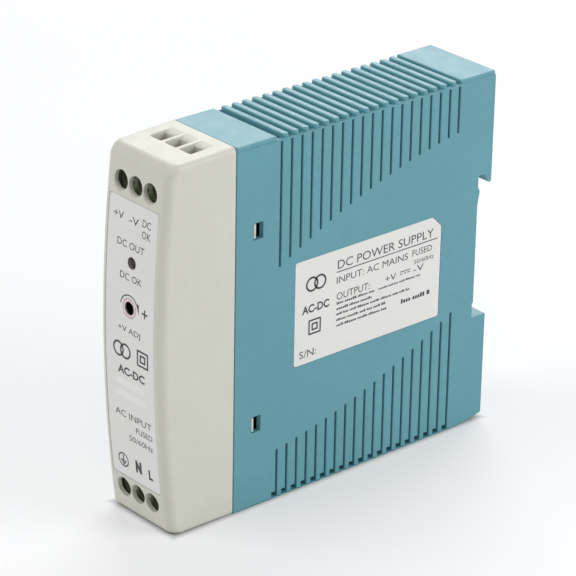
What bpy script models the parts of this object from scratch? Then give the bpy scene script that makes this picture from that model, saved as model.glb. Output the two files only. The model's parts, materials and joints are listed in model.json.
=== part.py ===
"""DIN rail power supply: a vented rear housing, a bowed front cover with screw terminals, and what is inside.

Frame: X is the width, -Y the front, +Y the rail side, +Z up. The origin is the middle of the base.
"""

import math

import bmesh
import bpy
from mathutils import Matrix

MM = 0.001

# Driving dimensions: the case
WIDTH = 22.5 * MM
HEIGHT = 90.5 * MM
DEPTH = 100.0 * MM
HALF_WIDTH = WIDTH / 2
FRONT_Y = -DEPTH / 2
REAR_Y = DEPTH / 2
GAP = 0.3 * MM

INNER_HALF = 9.8 * MM
PLATE = 1.5 * MM
SEAM_Y = FRONT_Y + 21.1 * MM
HOUSING_TOP = 90.2 * MM

# Front cover: the bow is foremost at BOW_Z and falls back by BOW over BOW_REACH
BOW = 3.0 * MM
BOW_Z = 47.0 * MM
BOW_REACH = 45.0 * MM
BOW_RADIUS = (BOW_REACH**2 + BOW**2) / (2 * BOW)
COVER_WALL = 1.6 * MM
COVER_TAPER = 0.4 * MM
CORNER_RADIUS = 2.5 * MM
FRONT_EDGE_RADIUS = 1.5 * MM
TOP_FRONT_RADIUS = 4.0 * MM
TOP_FALL = 0.3 * MM
TOP_CORNER_Z = HEIGHT - TOP_FALL - TOP_FRONT_RADIUS
SIDE_EDGE_RADIUS = 0.8 * MM
BOW_STEPS = 16
RECESS = 0.3 * MM
FILM = 0.15 * MM

# Terminals: three poles at each end
POLE_PITCH = 5.08 * MM
POLE_XS = (-POLE_PITCH, 0.0, POLE_PITCH)
POLE_MID_Z = 44.75 * MM
SCREW_Z = 82.75 * MM
SCREW_HOLE_RADIUS = 2.35 * MM
WIRE_ENTRY_HALF = 1.95 * MM
WIRE_ENTRY_FRONT = FRONT_Y + 11.5 * MM
WIRE_ENTRY_REAR = FRONT_Y + 18.5 * MM
WIRE_RAMP_FOOT = FRONT_Y + 15.9 * MM
WIRE_RAMP_DEPTH = 1.1 * MM
COLLAR_HALF = 7.9 * MM
COLLAR_WALL = 0.8 * MM
COLLAR_LOW = 88.0 * MM

# Front indicators
LED_X, LED_Z = 0.3 * MM, 64.9 * MM
LED_HOLE_RADIUS = 1.5 * MM
TRIMMER_X, TRIMMER_Z = -0.1 * MM, 54.0 * MM
TRIMMER_HOLE_RADIUS = 1.6 * MM
THINNING_RADIUS = 3.1 * MM

# Labels
FRONT_LABEL_HALF = 8.5 * MM
FRONT_LABEL_LOW, FRONT_LABEL_HIGH = 10.2 * MM, 79.0 * MM
SIDE_LABEL_FRONT, SIDE_LABEL_REAR = FRONT_Y + 38.9 * MM, FRONT_Y + 84.1 * MM
SIDE_LABEL_LOW, SIDE_LABEL_HIGH = 31.9 * MM, 57.9 * MM
SIDE_LABEL_CUT = 2.8 * MM

# Vents: slots that start at the top and bottom edges and change length along the case
VENT_COUNT = 19
VENT_PITCH = 3.01 * MM
VENT_FIRST_Y = FRONT_Y + 34.2 * MM
VENT_WIDTH = 0.9 * MM
VENT_TOP = 89.8 * MM
VENT_SHORTEST = 12.6 * MM
VENT_GROWTH = 0.478 * MM
VENT_CURVE = 0.0315 * MM
TOP_GROOVE_WIDTH = 1.2 * MM
TOP_GROOVE_SHIFT = 0.05 * MM
NOTCH_WIDTH = 1.8 * MM
NOTCH_SHIFT = -0.5 * MM
NOTCH_LOW = 0.3 * MM
# Along both top edges a low rim runs outside the raised top
RIM_TOP = 89.25 * MM
RIM_WIDTH = 0.2 * MM
GROOVE_END = 0.9 * MM

# Snap windows and the tongues that hook into them
WINDOW_FRONT, WINDOW_REAR = FRONT_Y + 26.4 * MM, FRONT_Y + 29.1 * MM
WINDOW_ZS = (21.0 * MM, 69.0 * MM)
WINDOW_HALF = 2.0 * MM
TONGUE_HALF = 3.2 * MM
TONGUE_REAR = WINDOW_FRONT + 1.6 * MM
HOOK_LENGTH = 0.6 * MM

# Rail slot for a 35 mm top-hat rail
SLOT_WALL_Y = FRONT_Y + 95.8 * MM
LEDGE_Z = 28.0 * MM
HOOK_Z = 64.6 * MM
# The wall is set back a little behind the latch nose, and is flat above it
WALL_FACE_LOW = 31.8 * MM
CAVITY_REAR_Y = SLOT_WALL_Y - PLATE

# Latch that slides down to let go of the rail
LATCH_HALF = 5.5 * MM
LATCH_FLANGE_HALF = 7.2 * MM
LATCH_TRAVEL = 3.0 * MM
LATCH_FOOT_Z = 4.0 * MM
LATCH_FLANGE_TOP = LEDGE_Z - GAP
CHANNEL_STEP_Y = FRONT_Y + 97.0 * MM
CHANNEL_BACK_Y = FRONT_Y + 95.1 * MM
POCKET_HALF = 2.2 * MM
POCKET_LOW, POCKET_HIGH = 6.3 * MM, 17.3 * MM
POCKET_END_Y = FRONT_Y + 97.9 * MM
LUG_LOW, LUG_HIGH = 6.6 * MM, 8.0 * MM
SPRING_Y = FRONT_Y + 96.5 * MM

# Circuit board, upright along the left wall, with its parts on the right-hand face
BOARD_LEFT = -9.5 * MM
BOARD_FACE = -7.9 * MM
PART_FACE = BOARD_FACE + GAP
BOARD_FRONT, BOARD_REAR = FRONT_Y + 5.5 * MM, FRONT_Y + 93.5 * MM
BOARD_LOW, BOARD_HIGH = 2.0 * MM, 88.0 * MM

ROUND_STEPS = 24
SMALL_STEPS = 12


def clear_scene():
    for obj in list(bpy.data.objects):
        bpy.data.objects.remove(obj, do_unlink=True)


def new_collection(name, hidden):
    collection = bpy.data.collections.new(name)
    bpy.context.scene.collection.children.link(collection)
    collection.hide_render = hidden
    return collection


clear_scene()
PARTS = new_collection("din_rail_power_supply", hidden=False)
CUTTERS = new_collection("cutters", hidden=True)


def material(name, colour, roughness, metallic=0.0):
    made = bpy.data.materials.new(name)
    made.use_nodes = True
    shader = made.node_tree.nodes["Principled BSDF"]
    shader.inputs["Base Color"].default_value = (*colour, 1.0)
    shader.inputs["Roughness"].default_value = roughness
    shader.inputs["Metallic"].default_value = metallic
    return made


TEAL = material("housing_plastic", (0.14, 0.33, 0.39), 0.45)
CREAM = material("cover_plastic", (0.60, 0.59, 0.53), 0.5)
FILM_WHITE = material("label_film", (0.72, 0.73, 0.72), 0.4)
GREEN = material("terminal_plastic", (0.05, 0.25, 0.10), 0.45)
SCREW_STEEL = material("screw_steel", (0.62, 0.62, 0.60), 0.3, 1.0)
CLAMP_STEEL = material("clamp_steel", (0.70, 0.66, 0.50), 0.35, 1.0)
TINNED_BRASS = material("tinned_brass", (0.72, 0.70, 0.62), 0.35, 1.0)
SPRING_STEEL = material("spring_steel", (0.45, 0.45, 0.46), 0.3, 1.0)
BOARD_GREEN = material("board_laminate", (0.04, 0.18, 0.07), 0.5)
FERRITE = material("ferrite", (0.05, 0.05, 0.05), 0.7)
TAPE = material("winding_tape", (0.75, 0.60, 0.12), 0.5)
SLEEVE = material("capacitor_sleeve", (0.03, 0.04, 0.09), 0.35)
EPOXY_BLACK = material("epoxy_black", (0.02, 0.02, 0.02), 0.5)
FILM_BOX = material("film_box", (0.70, 0.55, 0.10), 0.45)
CERAMIC = material("ceramic_blue", (0.05, 0.20, 0.45), 0.4)
THERMISTOR = material("thermistor_coat", (0.06, 0.10, 0.06), 0.5)
ALUMINIUM = material("heatsink_aluminium", (0.75, 0.76, 0.77), 0.35, 1.0)
COPPER = material("copper_winding", (0.70, 0.35, 0.18), 0.3, 1.0)
LENS = material("led_lens", (0.16, 0.05, 0.05), 0.2)
TRIMMER_BLUE = material("trimmer_body", (0.03, 0.10, 0.45), 0.4)
ROTOR_DARK = material("trimmer_rotor", (0.10, 0.09, 0.08), 0.4)
FUSE_BROWN = material("fuse_body", (0.20, 0.07, 0.03), 0.4)


def add_object(name, mesh, look=None):
    """A part when it has a material, and a hidden cutter or helper when it has none."""
    obj = bpy.data.objects.new(name, mesh)
    if look:
        mesh.materials.append(look)
        PARTS.objects.link(obj)
    else:
        obj.hide_render = True
        obj.display_type = "WIRE"
        CUTTERS.objects.link(obj)
    return obj


def add_cubes(bm, boxes):
    for low, high in boxes:
        corners = [sorted(pair) for pair in zip(low, high)]
        size = [b - a for a, b in corners]
        middle = [(a + b) / 2 for a, b in corners]
        bmesh.ops.create_cube(bm, size=1, matrix=Matrix.Translation(middle) @ Matrix.Diagonal((*size, 1)))


def boxes(name, corners, look=None):
    """One or more separate boxes in one mesh, each given by two opposite corners."""
    bm = bmesh.new()
    add_cubes(bm, corners)
    mesh = bpy.data.meshes.new(name)
    bm.to_mesh(mesh)
    bm.free()
    return add_object(name, mesh, look)


def box(name, low, high, look=None, edge=0.0):
    obj = boxes(name, [(low, high)], look)
    if edge:
        bevel(obj, edge)
    return obj


def bevel(obj, width, segments=2):
    modifier = obj.modifiers.new("edges", "BEVEL")
    modifier.width = width
    modifier.segments = segments
    modifier.limit_method = "ANGLE"
    modifier.angle_limit = math.radians(40)


TURN = {
    "X": Matrix.Rotation(math.radians(90), 4, "Y"),
    "Y": Matrix.Rotation(math.radians(90), 4, "X"),
    "Z": Matrix.Identity(4),
}


def rods(name, centres, radius, length, axis, look=None, steps=ROUND_STEPS):
    """Separate cylinders of one size in one mesh, each centred on its point and lying along the axis."""
    bm = bmesh.new()
    for centre in centres:
        bmesh.ops.create_cone(
            bm, cap_ends=True, segments=steps, radius1=radius, radius2=radius, depth=length,
            matrix=Matrix.Translation(centre) @ TURN[axis],
        )
    mesh = bpy.data.meshes.new(name)
    bm.to_mesh(mesh)
    bm.free()
    return add_object(name, mesh, look)


def shade_round(obj):
    obj.data.shade_smooth()
    obj.data.set_sharp_from_angle(angle=math.radians(35))


def turned(name, profile, axis, centre, look, steps=ROUND_STEPS):
    """A turned piece. The profile is (radius, height) from top to bottom, and its height runs along the axis."""
    mesh = bpy.data.meshes.new(name)
    edges = [(i, i + 1) for i in range(len(profile) - 1)]
    mesh.from_pydata([(radius, 0, height) for radius, height in profile], edges, [])
    obj = add_object(name, mesh, look)
    obj.matrix_world = Matrix.Translation(centre) @ TURN[axis]
    screw = obj.modifiers.new("turn", "SCREW")
    screw.steps = steps
    screw.render_steps = steps
    screw.use_merge_vertices = True
    screw.merge_threshold = 1e-6
    return obj


def plate(name, outline, low_x, high_x, look=None):
    """A flat outline in the YZ plane, given as (y, z) points, made solid from low_x to high_x."""
    curve = bpy.data.curves.new(name, "CURVE")
    curve.dimensions = "2D"
    curve.fill_mode = "BOTH"
    curve.extrude = (high_x - low_x) / 2
    spline = curve.splines.new("POLY")
    spline.points.add(len(outline) - 1)
    for point, (y, z) in zip(spline.points, outline):
        point.co = (y, z, 0, 1)
    spline.use_cyclic_u = True
    source = bpy.data.objects.new(name + "_outline", curve)
    CUTTERS.objects.link(source)
    bpy.context.view_layer.update()
    graph = bpy.context.evaluated_depsgraph_get()
    mesh = bpy.data.meshes.new_from_object(source.evaluated_get(graph))
    bpy.data.objects.remove(source)
    bm = bmesh.new()
    bm.from_mesh(mesh)
    bmesh.ops.remove_doubles(bm, verts=bm.verts, dist=1e-6)
    # The curve lies in XY: its X becomes Y, its Y becomes Z, and its thickness becomes X.
    bm.transform(Matrix(((0, 0, 1, (low_x + high_x) / 2), (1, 0, 0, 0), (0, 1, 0, 0), (0, 0, 0, 1))))
    bmesh.ops.recalc_face_normals(bm, faces=bm.faces)
    if bm.calc_volume(signed=True) < 0:
        bmesh.ops.reverse_faces(bm, faces=bm.faces)
    bm.to_mesh(mesh)
    bm.free()
    mesh.name = name
    return add_object(name, mesh, look)


def boolean(obj, operation, *others):
    for other in others:
        modifier = obj.modifiers.new(other.name, "BOOLEAN")
        modifier.operation = operation
        modifier.object = other


def cut(obj, *cutters):
    boolean(obj, "DIFFERENCE", *cutters)


def join(obj, *helpers):
    boolean(obj, "UNION", *helpers)


def bow_y(z, inset=0.0):
    """The y of the bowed front at height z, moved inwards by the inset."""
    return FRONT_Y + BOW_RADIUS - math.sqrt((BOW_RADIUS - inset) ** 2 - (z - BOW_Z) ** 2)


def bow_points(low, high, inset, steps=BOW_STEPS):
    heights = [low + (high - low) * i / steps for i in range(steps + 1)]
    return [(bow_y(z, inset), z) for z in heights]


def at_end(z, end):
    """Height z of the top terminals, or its mirror image at the bottom ones."""
    return POLE_MID_Z + end * (z - POLE_MID_Z)


# Case


def vent_length(index):
    return VENT_SHORTEST + VENT_GROWTH * index + VENT_CURVE * index**2


def vent_cutters():
    slots, grooves, gaps = [], [], []
    reach = HALF_WIDTH + 1 * MM
    for index in range(VENT_COUNT):
        y = VENT_FIRST_Y + VENT_PITCH * index
        upper = VENT_TOP - vent_length(VENT_COUNT - 1 - index)
        lower = vent_length(index)
        front, rear = y - VENT_WIDTH / 2, y + VENT_WIDTH / 2
        slots.append(((-reach, front, upper), (reach, rear, RIM_TOP - 0.3 * MM)))
        slots.append(((-reach, front, 0.7 * MM), (reach, rear, lower)))
        middle, half = y + TOP_GROOVE_SHIFT, TOP_GROOVE_WIDTH / 2
        end = HALF_WIDTH - GROOVE_END
        top = HOUSING_TOP + 1 * MM
        grooves.append(((-end, middle - half, HOUSING_TOP - PLATE - 0.1 * MM), (end, middle + half, top)))
        gaps.append(((-reach, middle - half, RIM_TOP), (reach, middle + half, top)))
        middle, half = y + NOTCH_SHIFT, NOTCH_WIDTH / 2
        grooves.append(((-reach, middle - half, NOTCH_LOW), (reach, middle + half, PLATE + 0.1 * MM)))
    return boxes("cut_vent_slots", slots), boxes("cut_vent_grooves", grooves), boxes("cut_rib_gaps", gaps)


def rear_housing():
    def y(from_front):
        return FRONT_Y + from_front * MM

    outline = [
        (SEAM_Y + GAP / 2, 0),
        (y(92.7), 0),
        (REAR_Y, 1.4 * MM),
        (REAR_Y, LEDGE_Z),
        (SLOT_WALL_Y - RECESS, LEDGE_Z),
        (SLOT_WALL_Y - RECESS, WALL_FACE_LOW),
        (SLOT_WALL_Y, WALL_FACE_LOW),
        (SLOT_WALL_Y, 57.1 * MM),
        (y(96.4), 60.6 * MM),
        (SLOT_WALL_Y, 61.8 * MM),
        (SLOT_WALL_Y, HOOK_Z),
        (y(97.4), HOOK_Z),
        (y(98.8), 62.5 * MM),
        (y(99.6), 62.1 * MM),
        (REAR_Y, 62.6 * MM),
        (REAR_Y, HOUSING_TOP),
        (SEAM_Y + GAP / 2, HOUSING_TOP),
    ]
    housing = plate("rear_housing", outline, -HALF_WIDTH, HALF_WIDTH, TEAL)
    cavity = box(
        "cut_cavity",
        (-INNER_HALF, SEAM_Y - 2 * MM, PLATE),
        (INNER_HALF, CAVITY_REAR_Y, HOUSING_TOP - PLATE),
    )
    hook_hollow = box(
        "cut_hook_hollow",
        (-INNER_HALF, CAVITY_REAR_Y - 1 * MM, HOOK_Z + PLATE),
        (INNER_HALF, REAR_Y - PLATE, HOUSING_TOP - PLATE - 0.01 * MM),
    )
    guide = box(
        "cut_latch_guide",
        (-LATCH_FLANGE_HALF - GAP, CHANNEL_BACK_Y, PLATE + 0.3 * MM),
        (LATCH_FLANGE_HALF + GAP, CHANNEL_STEP_Y + 0.1 * MM, LEDGE_Z + 1 * MM),
    )
    channel = box(
        "cut_latch_channel",
        (-LATCH_HALF - GAP, CHANNEL_STEP_Y, -1 * MM),
        (LATCH_HALF + GAP, REAR_Y + 1 * MM, LEDGE_Z + 2 * MM),
    )
    lug = box(
        "join_spring_lug",
        (-POCKET_HALF + 0.4 * MM, CHANNEL_BACK_Y - 0.4 * MM, LUG_LOW),
        (POCKET_HALF - 0.4 * MM, POCKET_END_Y - 0.4 * MM, LUG_HIGH),
    )
    reach = HALF_WIDTH + 1 * MM
    windows = boxes(
        "cut_snap_windows",
        [((-reach, WINDOW_FRONT, z - WINDOW_HALF), (reach, WINDOW_REAR, z + WINDOW_HALF)) for z in WINDOW_ZS],
    )
    label_recess = box(
        "cut_side_label_recess",
        (HALF_WIDTH - RECESS, SIDE_LABEL_FRONT - GAP, SIDE_LABEL_LOW - GAP),
        (reach, SIDE_LABEL_REAR + GAP, SIDE_LABEL_HIGH + GAP),
    )
    cut(housing, cavity, hook_hollow, guide, channel)
    join(housing, lug)
    rims = boxes(
        "cut_top_rims",
        [
            ((low, SEAM_Y - 1 * MM, RIM_TOP), (low + 2 * MM, REAR_Y + 1 * MM, HEIGHT))
            for low in (-HALF_WIDTH + RIM_WIDTH - 2 * MM, HALF_WIDTH - RIM_WIDTH)
        ],
    )
    cut(housing, *vent_cutters(), windows, label_recess, rims)
    return housing


def cover_outline(inset, low, steps=6):
    """The side view of the cover, or of its cavity at an inset, from its foot up the bow to the top corner."""
    centre = (bow_y(TOP_CORNER_Z, TOP_FRONT_RADIUS), TOP_CORNER_Z)
    radius = TOP_FRONT_RADIUS - inset
    start = math.pi - math.asin((TOP_CORNER_Z - BOW_Z) / (BOW_RADIUS - TOP_FRONT_RADIUS))
    angles = [start + (math.pi / 2 - start) * i / steps for i in range(1, steps + 1)]
    corner = [(centre[0] + radius * math.cos(a), centre[1] + radius * math.sin(a)) for a in angles]
    return bow_points(low, TOP_CORNER_Z + radius * math.sin(start), inset) + corner


def cover_shell():
    """The outer form of the cover: bowed in front, narrower there, and rounded where its faces meet."""
    rear = SEAM_Y - GAP / 2
    outline = cover_outline(0, 0) + [(rear, HEIGHT), (rear, 0)]
    shell = plate("front_cover", outline, -HALF_WIDTH, HALF_WIDTH, CREAM)
    bm = bmesh.new()
    bm.from_mesh(shell.data)
    weights = bm.edges.layers.float.new("bevel_weight_edge")
    bmesh.ops.dissolve_limit(bm, angle_limit=math.radians(0.1), verts=bm.verts, edges=bm.edges)
    for edge in bm.edges:
        a, b = (vert.co for vert in edge.verts)
        across = abs(a.x - b.x) > WIDTH / 2
        behind = a.y > rear - 1e-5 and b.y > rear - 1e-5
        if behind:
            continue
        if across:
            edge[weights] = FRONT_EDGE_RADIUS / CORNER_RADIUS if a.z < 1e-5 else 0
        else:
            upright = abs(a.z - b.z) / (a - b).length
            edge[weights] = (SIDE_EDGE_RADIUS + (CORNER_RADIUS - SIDE_EDGE_RADIUS) * upright) / CORNER_RADIUS
    for vert in bm.verts:
        vert.co.x *= 1 - COVER_TAPER / HALF_WIDTH * (rear - vert.co.y) / (rear - FRONT_Y)
    bm.to_mesh(shell.data)
    bm.free()
    modifier = shell.modifiers.new("corners", "BEVEL")
    modifier.limit_method = "WEIGHT"
    modifier.width = CORNER_RADIUS
    modifier.segments = 4
    return shell


def wire_entry(x, end):
    """Cuts one entry, with a ramp at its rear that leads the wire in."""
    def z(depth):
        return HEIGHT - depth if end > 0 else depth

    outline = [
        (WIRE_ENTRY_FRONT, z(-1 * MM)),
        (WIRE_ENTRY_REAR, z(-1 * MM)),
        (WIRE_ENTRY_REAR, z(0)),
        (WIRE_RAMP_FOOT, z(WIRE_RAMP_DEPTH)),
        (WIRE_RAMP_FOOT, z(3 * MM)),
        (WIRE_ENTRY_FRONT, z(3 * MM)),
    ]
    return plate("cut_wire_entry", outline, x - WIRE_ENTRY_HALF, x + WIRE_ENTRY_HALF)


def front_cover():
    cover = cover_shell()
    inside = cover_outline(COVER_WALL, PLATE)
    inside += [(SEAM_Y + 1 * MM, inside[-1][1]), (SEAM_Y + 1 * MM, PLATE)]
    hollow = plate("cut_cover_hollow", inside, -INNER_HALF, INNER_HALF)
    label = [(FRONT_Y - 1 * MM, FRONT_LABEL_HIGH + GAP), (FRONT_Y - 1 * MM, FRONT_LABEL_LOW - GAP)]
    label = bow_points(FRONT_LABEL_LOW - GAP, FRONT_LABEL_HIGH + GAP, RECESS) + label
    recess = plate("cut_front_label_recess", label, -FRONT_LABEL_HALF - GAP, FRONT_LABEL_HALF + GAP)
    holes = rods(
        "cut_screw_holes",
        [(x, FRONT_Y + 4 * MM, at_end(SCREW_Z, end)) for x in POLE_XS for end in (1, -1)],
        SCREW_HOLE_RADIUS, 12 * MM, "Y",
    )
    led_hole = rods("cut_led_hole", [(LED_X, FRONT_Y, LED_Z)], LED_HOLE_RADIUS, 12 * MM, "Y", steps=16)
    trimmer_hole = rods(
        "cut_trimmer_hole", [(TRIMMER_X, FRONT_Y, TRIMMER_Z)], TRIMMER_HOLE_RADIUS, 12 * MM, "Y", steps=16
    )
    thinning = rods(
        "cut_trimmer_thinning", [(TRIMMER_X, FRONT_Y + 4.8 * MM, TRIMMER_Z)], THINNING_RADIUS, 8 * MM, "Y", steps=20
    )
    collar = box(
        "join_wire_collar",
        (-COLLAR_HALF, WIRE_ENTRY_FRONT - COLLAR_WALL, COLLAR_LOW),
        (COLLAR_HALF, WIRE_ENTRY_REAR + COLLAR_WALL, HEIGHT - PLATE),
    )
    cut(cover, hollow)
    join(cover, collar)
    entries = [wire_entry(x, end) for x in POLE_XS for end in (1, -1)]
    cut(cover, recess, holes, led_hole, trimmer_hole, thinning, *entries)
    outer, inner = INNER_HALF - GAP, INNER_HALF - GAP - 1 * MM
    roots, tongues, hooks = [], [], []
    for z in WINDOW_ZS:
        for side in (1, -1):
            low, high = z - TONGUE_HALF, z + TONGUE_HALF
            roots.append(((side * inner, SEAM_Y - 5 * MM, low), (side * 10.2 * MM, SEAM_Y - GAP, high)))
            tongues.append(((side * inner, SEAM_Y - 4 * MM, low), (side * outer, TONGUE_REAR, high)))
            hooks.append((
                (side * (outer - 0.5 * MM), WINDOW_FRONT + GAP, z - WINDOW_HALF + GAP),
                (side * 10.9 * MM, WINDOW_FRONT + GAP + HOOK_LENGTH, z + WINDOW_HALF - GAP),
            ))
    join(
        cover,
        boxes("join_tongue_roots", roots),
        boxes("join_tongues", tongues),
        boxes("join_tongue_hooks", hooks),
    )
    return cover


def labels():
    low, high = FRONT_LABEL_LOW, FRONT_LABEL_HIGH
    outer = bow_points(low, high, 0.05 * MM)
    inner = bow_points(low, high, 0.05 * MM + FILM)
    front = plate("front_label", outer + inner[::-1], -FRONT_LABEL_HALF, FRONT_LABEL_HALF, FILM_WHITE)
    cut(
        front,
        rods("cut_label_led", [(LED_X, FRONT_Y, LED_Z)], LED_HOLE_RADIUS, 12 * MM, "Y", steps=16),
        rods(
            "cut_label_trimmer", [(TRIMMER_X, FRONT_Y, TRIMMER_Z)], TRIMMER_HOLE_RADIUS, 12 * MM, "Y", steps=16
        ),
    )
    side = [
        (SIDE_LABEL_FRONT, SIDE_LABEL_LOW),
        (SIDE_LABEL_REAR, SIDE_LABEL_LOW),
        (SIDE_LABEL_REAR, SIDE_LABEL_HIGH - SIDE_LABEL_CUT),
        (SIDE_LABEL_REAR - SIDE_LABEL_CUT, SIDE_LABEL_HIGH),
        (SIDE_LABEL_FRONT + 0.6 * MM, SIDE_LABEL_HIGH),
        (SIDE_LABEL_FRONT, SIDE_LABEL_HIGH - 0.6 * MM),
    ]
    face = HALF_WIDTH - 0.05 * MM
    plate("side_label", side, face - FILM, face, FILM_WHITE)


# Rail latch


def din_latch():
    """Slides on the guide behind the slot. Its nose holds the rail's lower edge, and its ramp lets it snap on."""
    body_front = CHANNEL_STEP_Y - GAP
    flange_foot = LATCH_FOOT_Z + 1 * MM
    outline = [
        (body_front, flange_foot),
        (CHANNEL_STEP_Y + GAP, flange_foot),
        (CHANNEL_STEP_Y + GAP, LATCH_FOOT_Z),
        (REAR_Y - GAP, LATCH_FOOT_Z),
        (REAR_Y - GAP, LEDGE_Z + 0.6 * MM),
        (FRONT_Y + 98.3 * MM, LEDGE_Z + 3.2 * MM),
        (FRONT_Y + 97.5 * MM, LEDGE_Z + 2.4 * MM),
        (FRONT_Y + 97.5 * MM, LATCH_FLANGE_TOP),
        (body_front, LATCH_FLANGE_TOP),
    ]
    latch = plate("din_latch", outline, -LATCH_HALF, LATCH_HALF, TEAL)
    flange = box(
        "join_latch_flange",
        (-LATCH_FLANGE_HALF, CHANNEL_BACK_Y + GAP, flange_foot),
        (LATCH_FLANGE_HALF, body_front + 0.001 * MM, LATCH_FLANGE_TOP),
    )
    pocket = box(
        "cut_spring_pocket",
        (-POCKET_HALF, CHANNEL_BACK_Y, POCKET_LOW),
        (POCKET_HALF, POCKET_END_Y, POCKET_HIGH),
    )
    driver_slot = box(
        "cut_driver_slot", (-2.5 * MM, REAR_Y - 1.8 * MM, 8.0 * MM), (2.5 * MM, REAR_Y + 1 * MM, 10.2 * MM)
    )
    join(latch, flange)
    cut(latch, pocket, driver_slot)


def latch_spring():
    turns, per_turn, radius = 7, 10, 0.8 * MM
    low, high = LUG_HIGH + 0.4 * MM, POCKET_HIGH - 0.4 * MM
    curve = bpy.data.curves.new("latch_spring", "CURVE")
    curve.dimensions = "3D"
    curve.bevel_depth = 0.2 * MM
    curve.bevel_resolution = 1
    curve.use_fill_caps = True
    spline = curve.splines.new("POLY")
    count = turns * per_turn
    spline.points.add(count)
    for index, point in enumerate(spline.points):
        angle = 2 * math.pi * index / per_turn
        z = low + (high - low) * index / count
        point.co = (radius * math.cos(angle), SPRING_Y + radius * math.sin(angle), z, 1)
    curve.materials.append(SPRING_STEEL)
    spring = bpy.data.objects.new("latch_spring", curve)
    PARTS.objects.link(spring)


# Terminals


CHAMBER_FRONT, CHAMBER_REAR = FRONT_Y + 6.7 * MM, FRONT_Y + 18.4 * MM
BLOCK_FRONT, BLOCK_REAR = FRONT_Y + 3.6 * MM, FRONT_Y + 19.4 * MM
BLOCK_LOW, BLOCK_HIGH = 76.4 * MM, 87.7 * MM
CHAMBER_LOW, CHAMBER_HIGH = 79.6 * MM, 86.4 * MM
SCREW_HEAD_FRONT, SCREW_HEAD_REAR = FRONT_Y + 5.0 * MM, FRONT_Y + 6.5 * MM
SCREW_TIP = FRONT_Y + 11.7 * MM
BAR_FRONT, BAR_REAR = FRONT_Y + 12.0 * MM, FRONT_Y + 12.8 * MM
CLAMP_FRONT, CLAMP_REAR = FRONT_Y + 9.9 * MM, FRONT_Y + 17.8 * MM


def terminal_block(name, end):
    def z(height):
        return at_end(height, end)

    outline = [
        (BLOCK_FRONT, z(BLOCK_LOW)), (FRONT_Y + 4.6 * MM, z(85.4 * MM)), (FRONT_Y + 6.8 * MM, z(BLOCK_HIGH)),
        (BLOCK_REAR, z(BLOCK_HIGH)), (BLOCK_REAR, z(BLOCK_LOW)),
    ]
    block = plate(name, outline, -7.6 * MM, 7.6 * MM, GREEN)
    chambers = [
        ((x - 2.05 * MM, CHAMBER_FRONT, z(CHAMBER_LOW)), (x + 2.05 * MM, CHAMBER_REAR, z(CHAMBER_HIGH)))
        for x in POLE_XS
    ]
    entries = [
        ((x - 1.6 * MM, BAR_REAR, z(CHAMBER_HIGH - 1 * MM)), (x + 1.6 * MM, CHAMBER_REAR - 0.6 * MM, z(90 * MM)))
        for x in POLE_XS
    ]
    bores = [(x, FRONT_Y + 4.8 * MM, z(SCREW_Z)) for x in POLE_XS]
    cut(
        block,
        boxes("cut_" + name + "_chambers", chambers),
        boxes("cut_" + name + "_entries", entries),
        rods("cut_" + name + "_bores", bores, 2.2 * MM, 6 * MM, "Y", steps=16),
    )


def terminal_pole(label, x, end):
    """The screw, the clamp that it draws forward, and the fixed bar that the wire is clamped against."""
    z = at_end(SCREW_Z, end)
    head = SCREW_HEAD_REAR - SCREW_HEAD_FRONT
    tip = SCREW_TIP - SCREW_HEAD_FRONT
    profile = [
        (0, 0), (1.6 * MM, 0), (1.9 * MM, -0.3 * MM), (1.9 * MM, -head), (1.15 * MM, -head),
        (1.15 * MM, -tip + 0.4 * MM), (0.8 * MM, -tip), (0, -tip),
    ]
    screw = turned("terminal_screw_" + label, profile, "Y", (x, SCREW_HEAD_FRONT, z), SCREW_STEEL, 16)
    slot = box(
        "cut_screw_slot_" + label,
        (x - 3 * MM, SCREW_HEAD_FRONT - 1 * MM, z - 0.3 * MM),
        (x + 3 * MM, SCREW_HEAD_FRONT + 0.9 * MM, z + 0.3 * MM),
    )
    cut(screw, slot)
    half, wall = 1.75 * MM, 0.45 * MM
    low, high = z - 2.6 * MM, z + 2.6 * MM
    clamp = box("wire_clamp_" + label, (x - half, CLAMP_FRONT, low), (x + half, CLAMP_REAR, high), CLAMP_STEEL)
    window = box(
        "cut_clamp_window_" + label,
        (x - half + wall, CLAMP_FRONT + 1 * MM, low - 1 * MM),
        (x + half - wall, CLAMP_REAR - 0.8 * MM, high + 1 * MM),
    )
    thread = rods("cut_clamp_thread_" + label, [(x, CLAMP_FRONT, z)], 1.45 * MM, 3 * MM, "Y", steps=16)
    cut(clamp, window, thread)
    box(
        "contact_bar_" + label,
        (x - 1.0 * MM, BAR_FRONT, at_end(CHAMBER_LOW + GAP, end)),
        (x + 1.0 * MM, BAR_REAR, at_end(CHAMBER_HIGH - GAP, end)),
        TINNED_BRASS,
    )


# Board and what it carries


def circuit_board():
    board = box(
        "circuit_board", (BOARD_LEFT, BOARD_FRONT, BOARD_LOW), (BOARD_FACE, BOARD_REAR, BOARD_HIGH), BOARD_GREEN
    )
    clearances = [
        (
            (BOARD_LEFT - 1 * MM, SEAM_Y - 6 * MM, z - TONGUE_HALF - GAP),
            (BOARD_FACE + 1 * MM, WINDOW_REAR + 2 * MM, z + TONGUE_HALF + GAP),
        )
        for z in WINDOW_ZS
    ]
    cut(board, boxes("cut_tongue_clearances", clearances))


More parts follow.
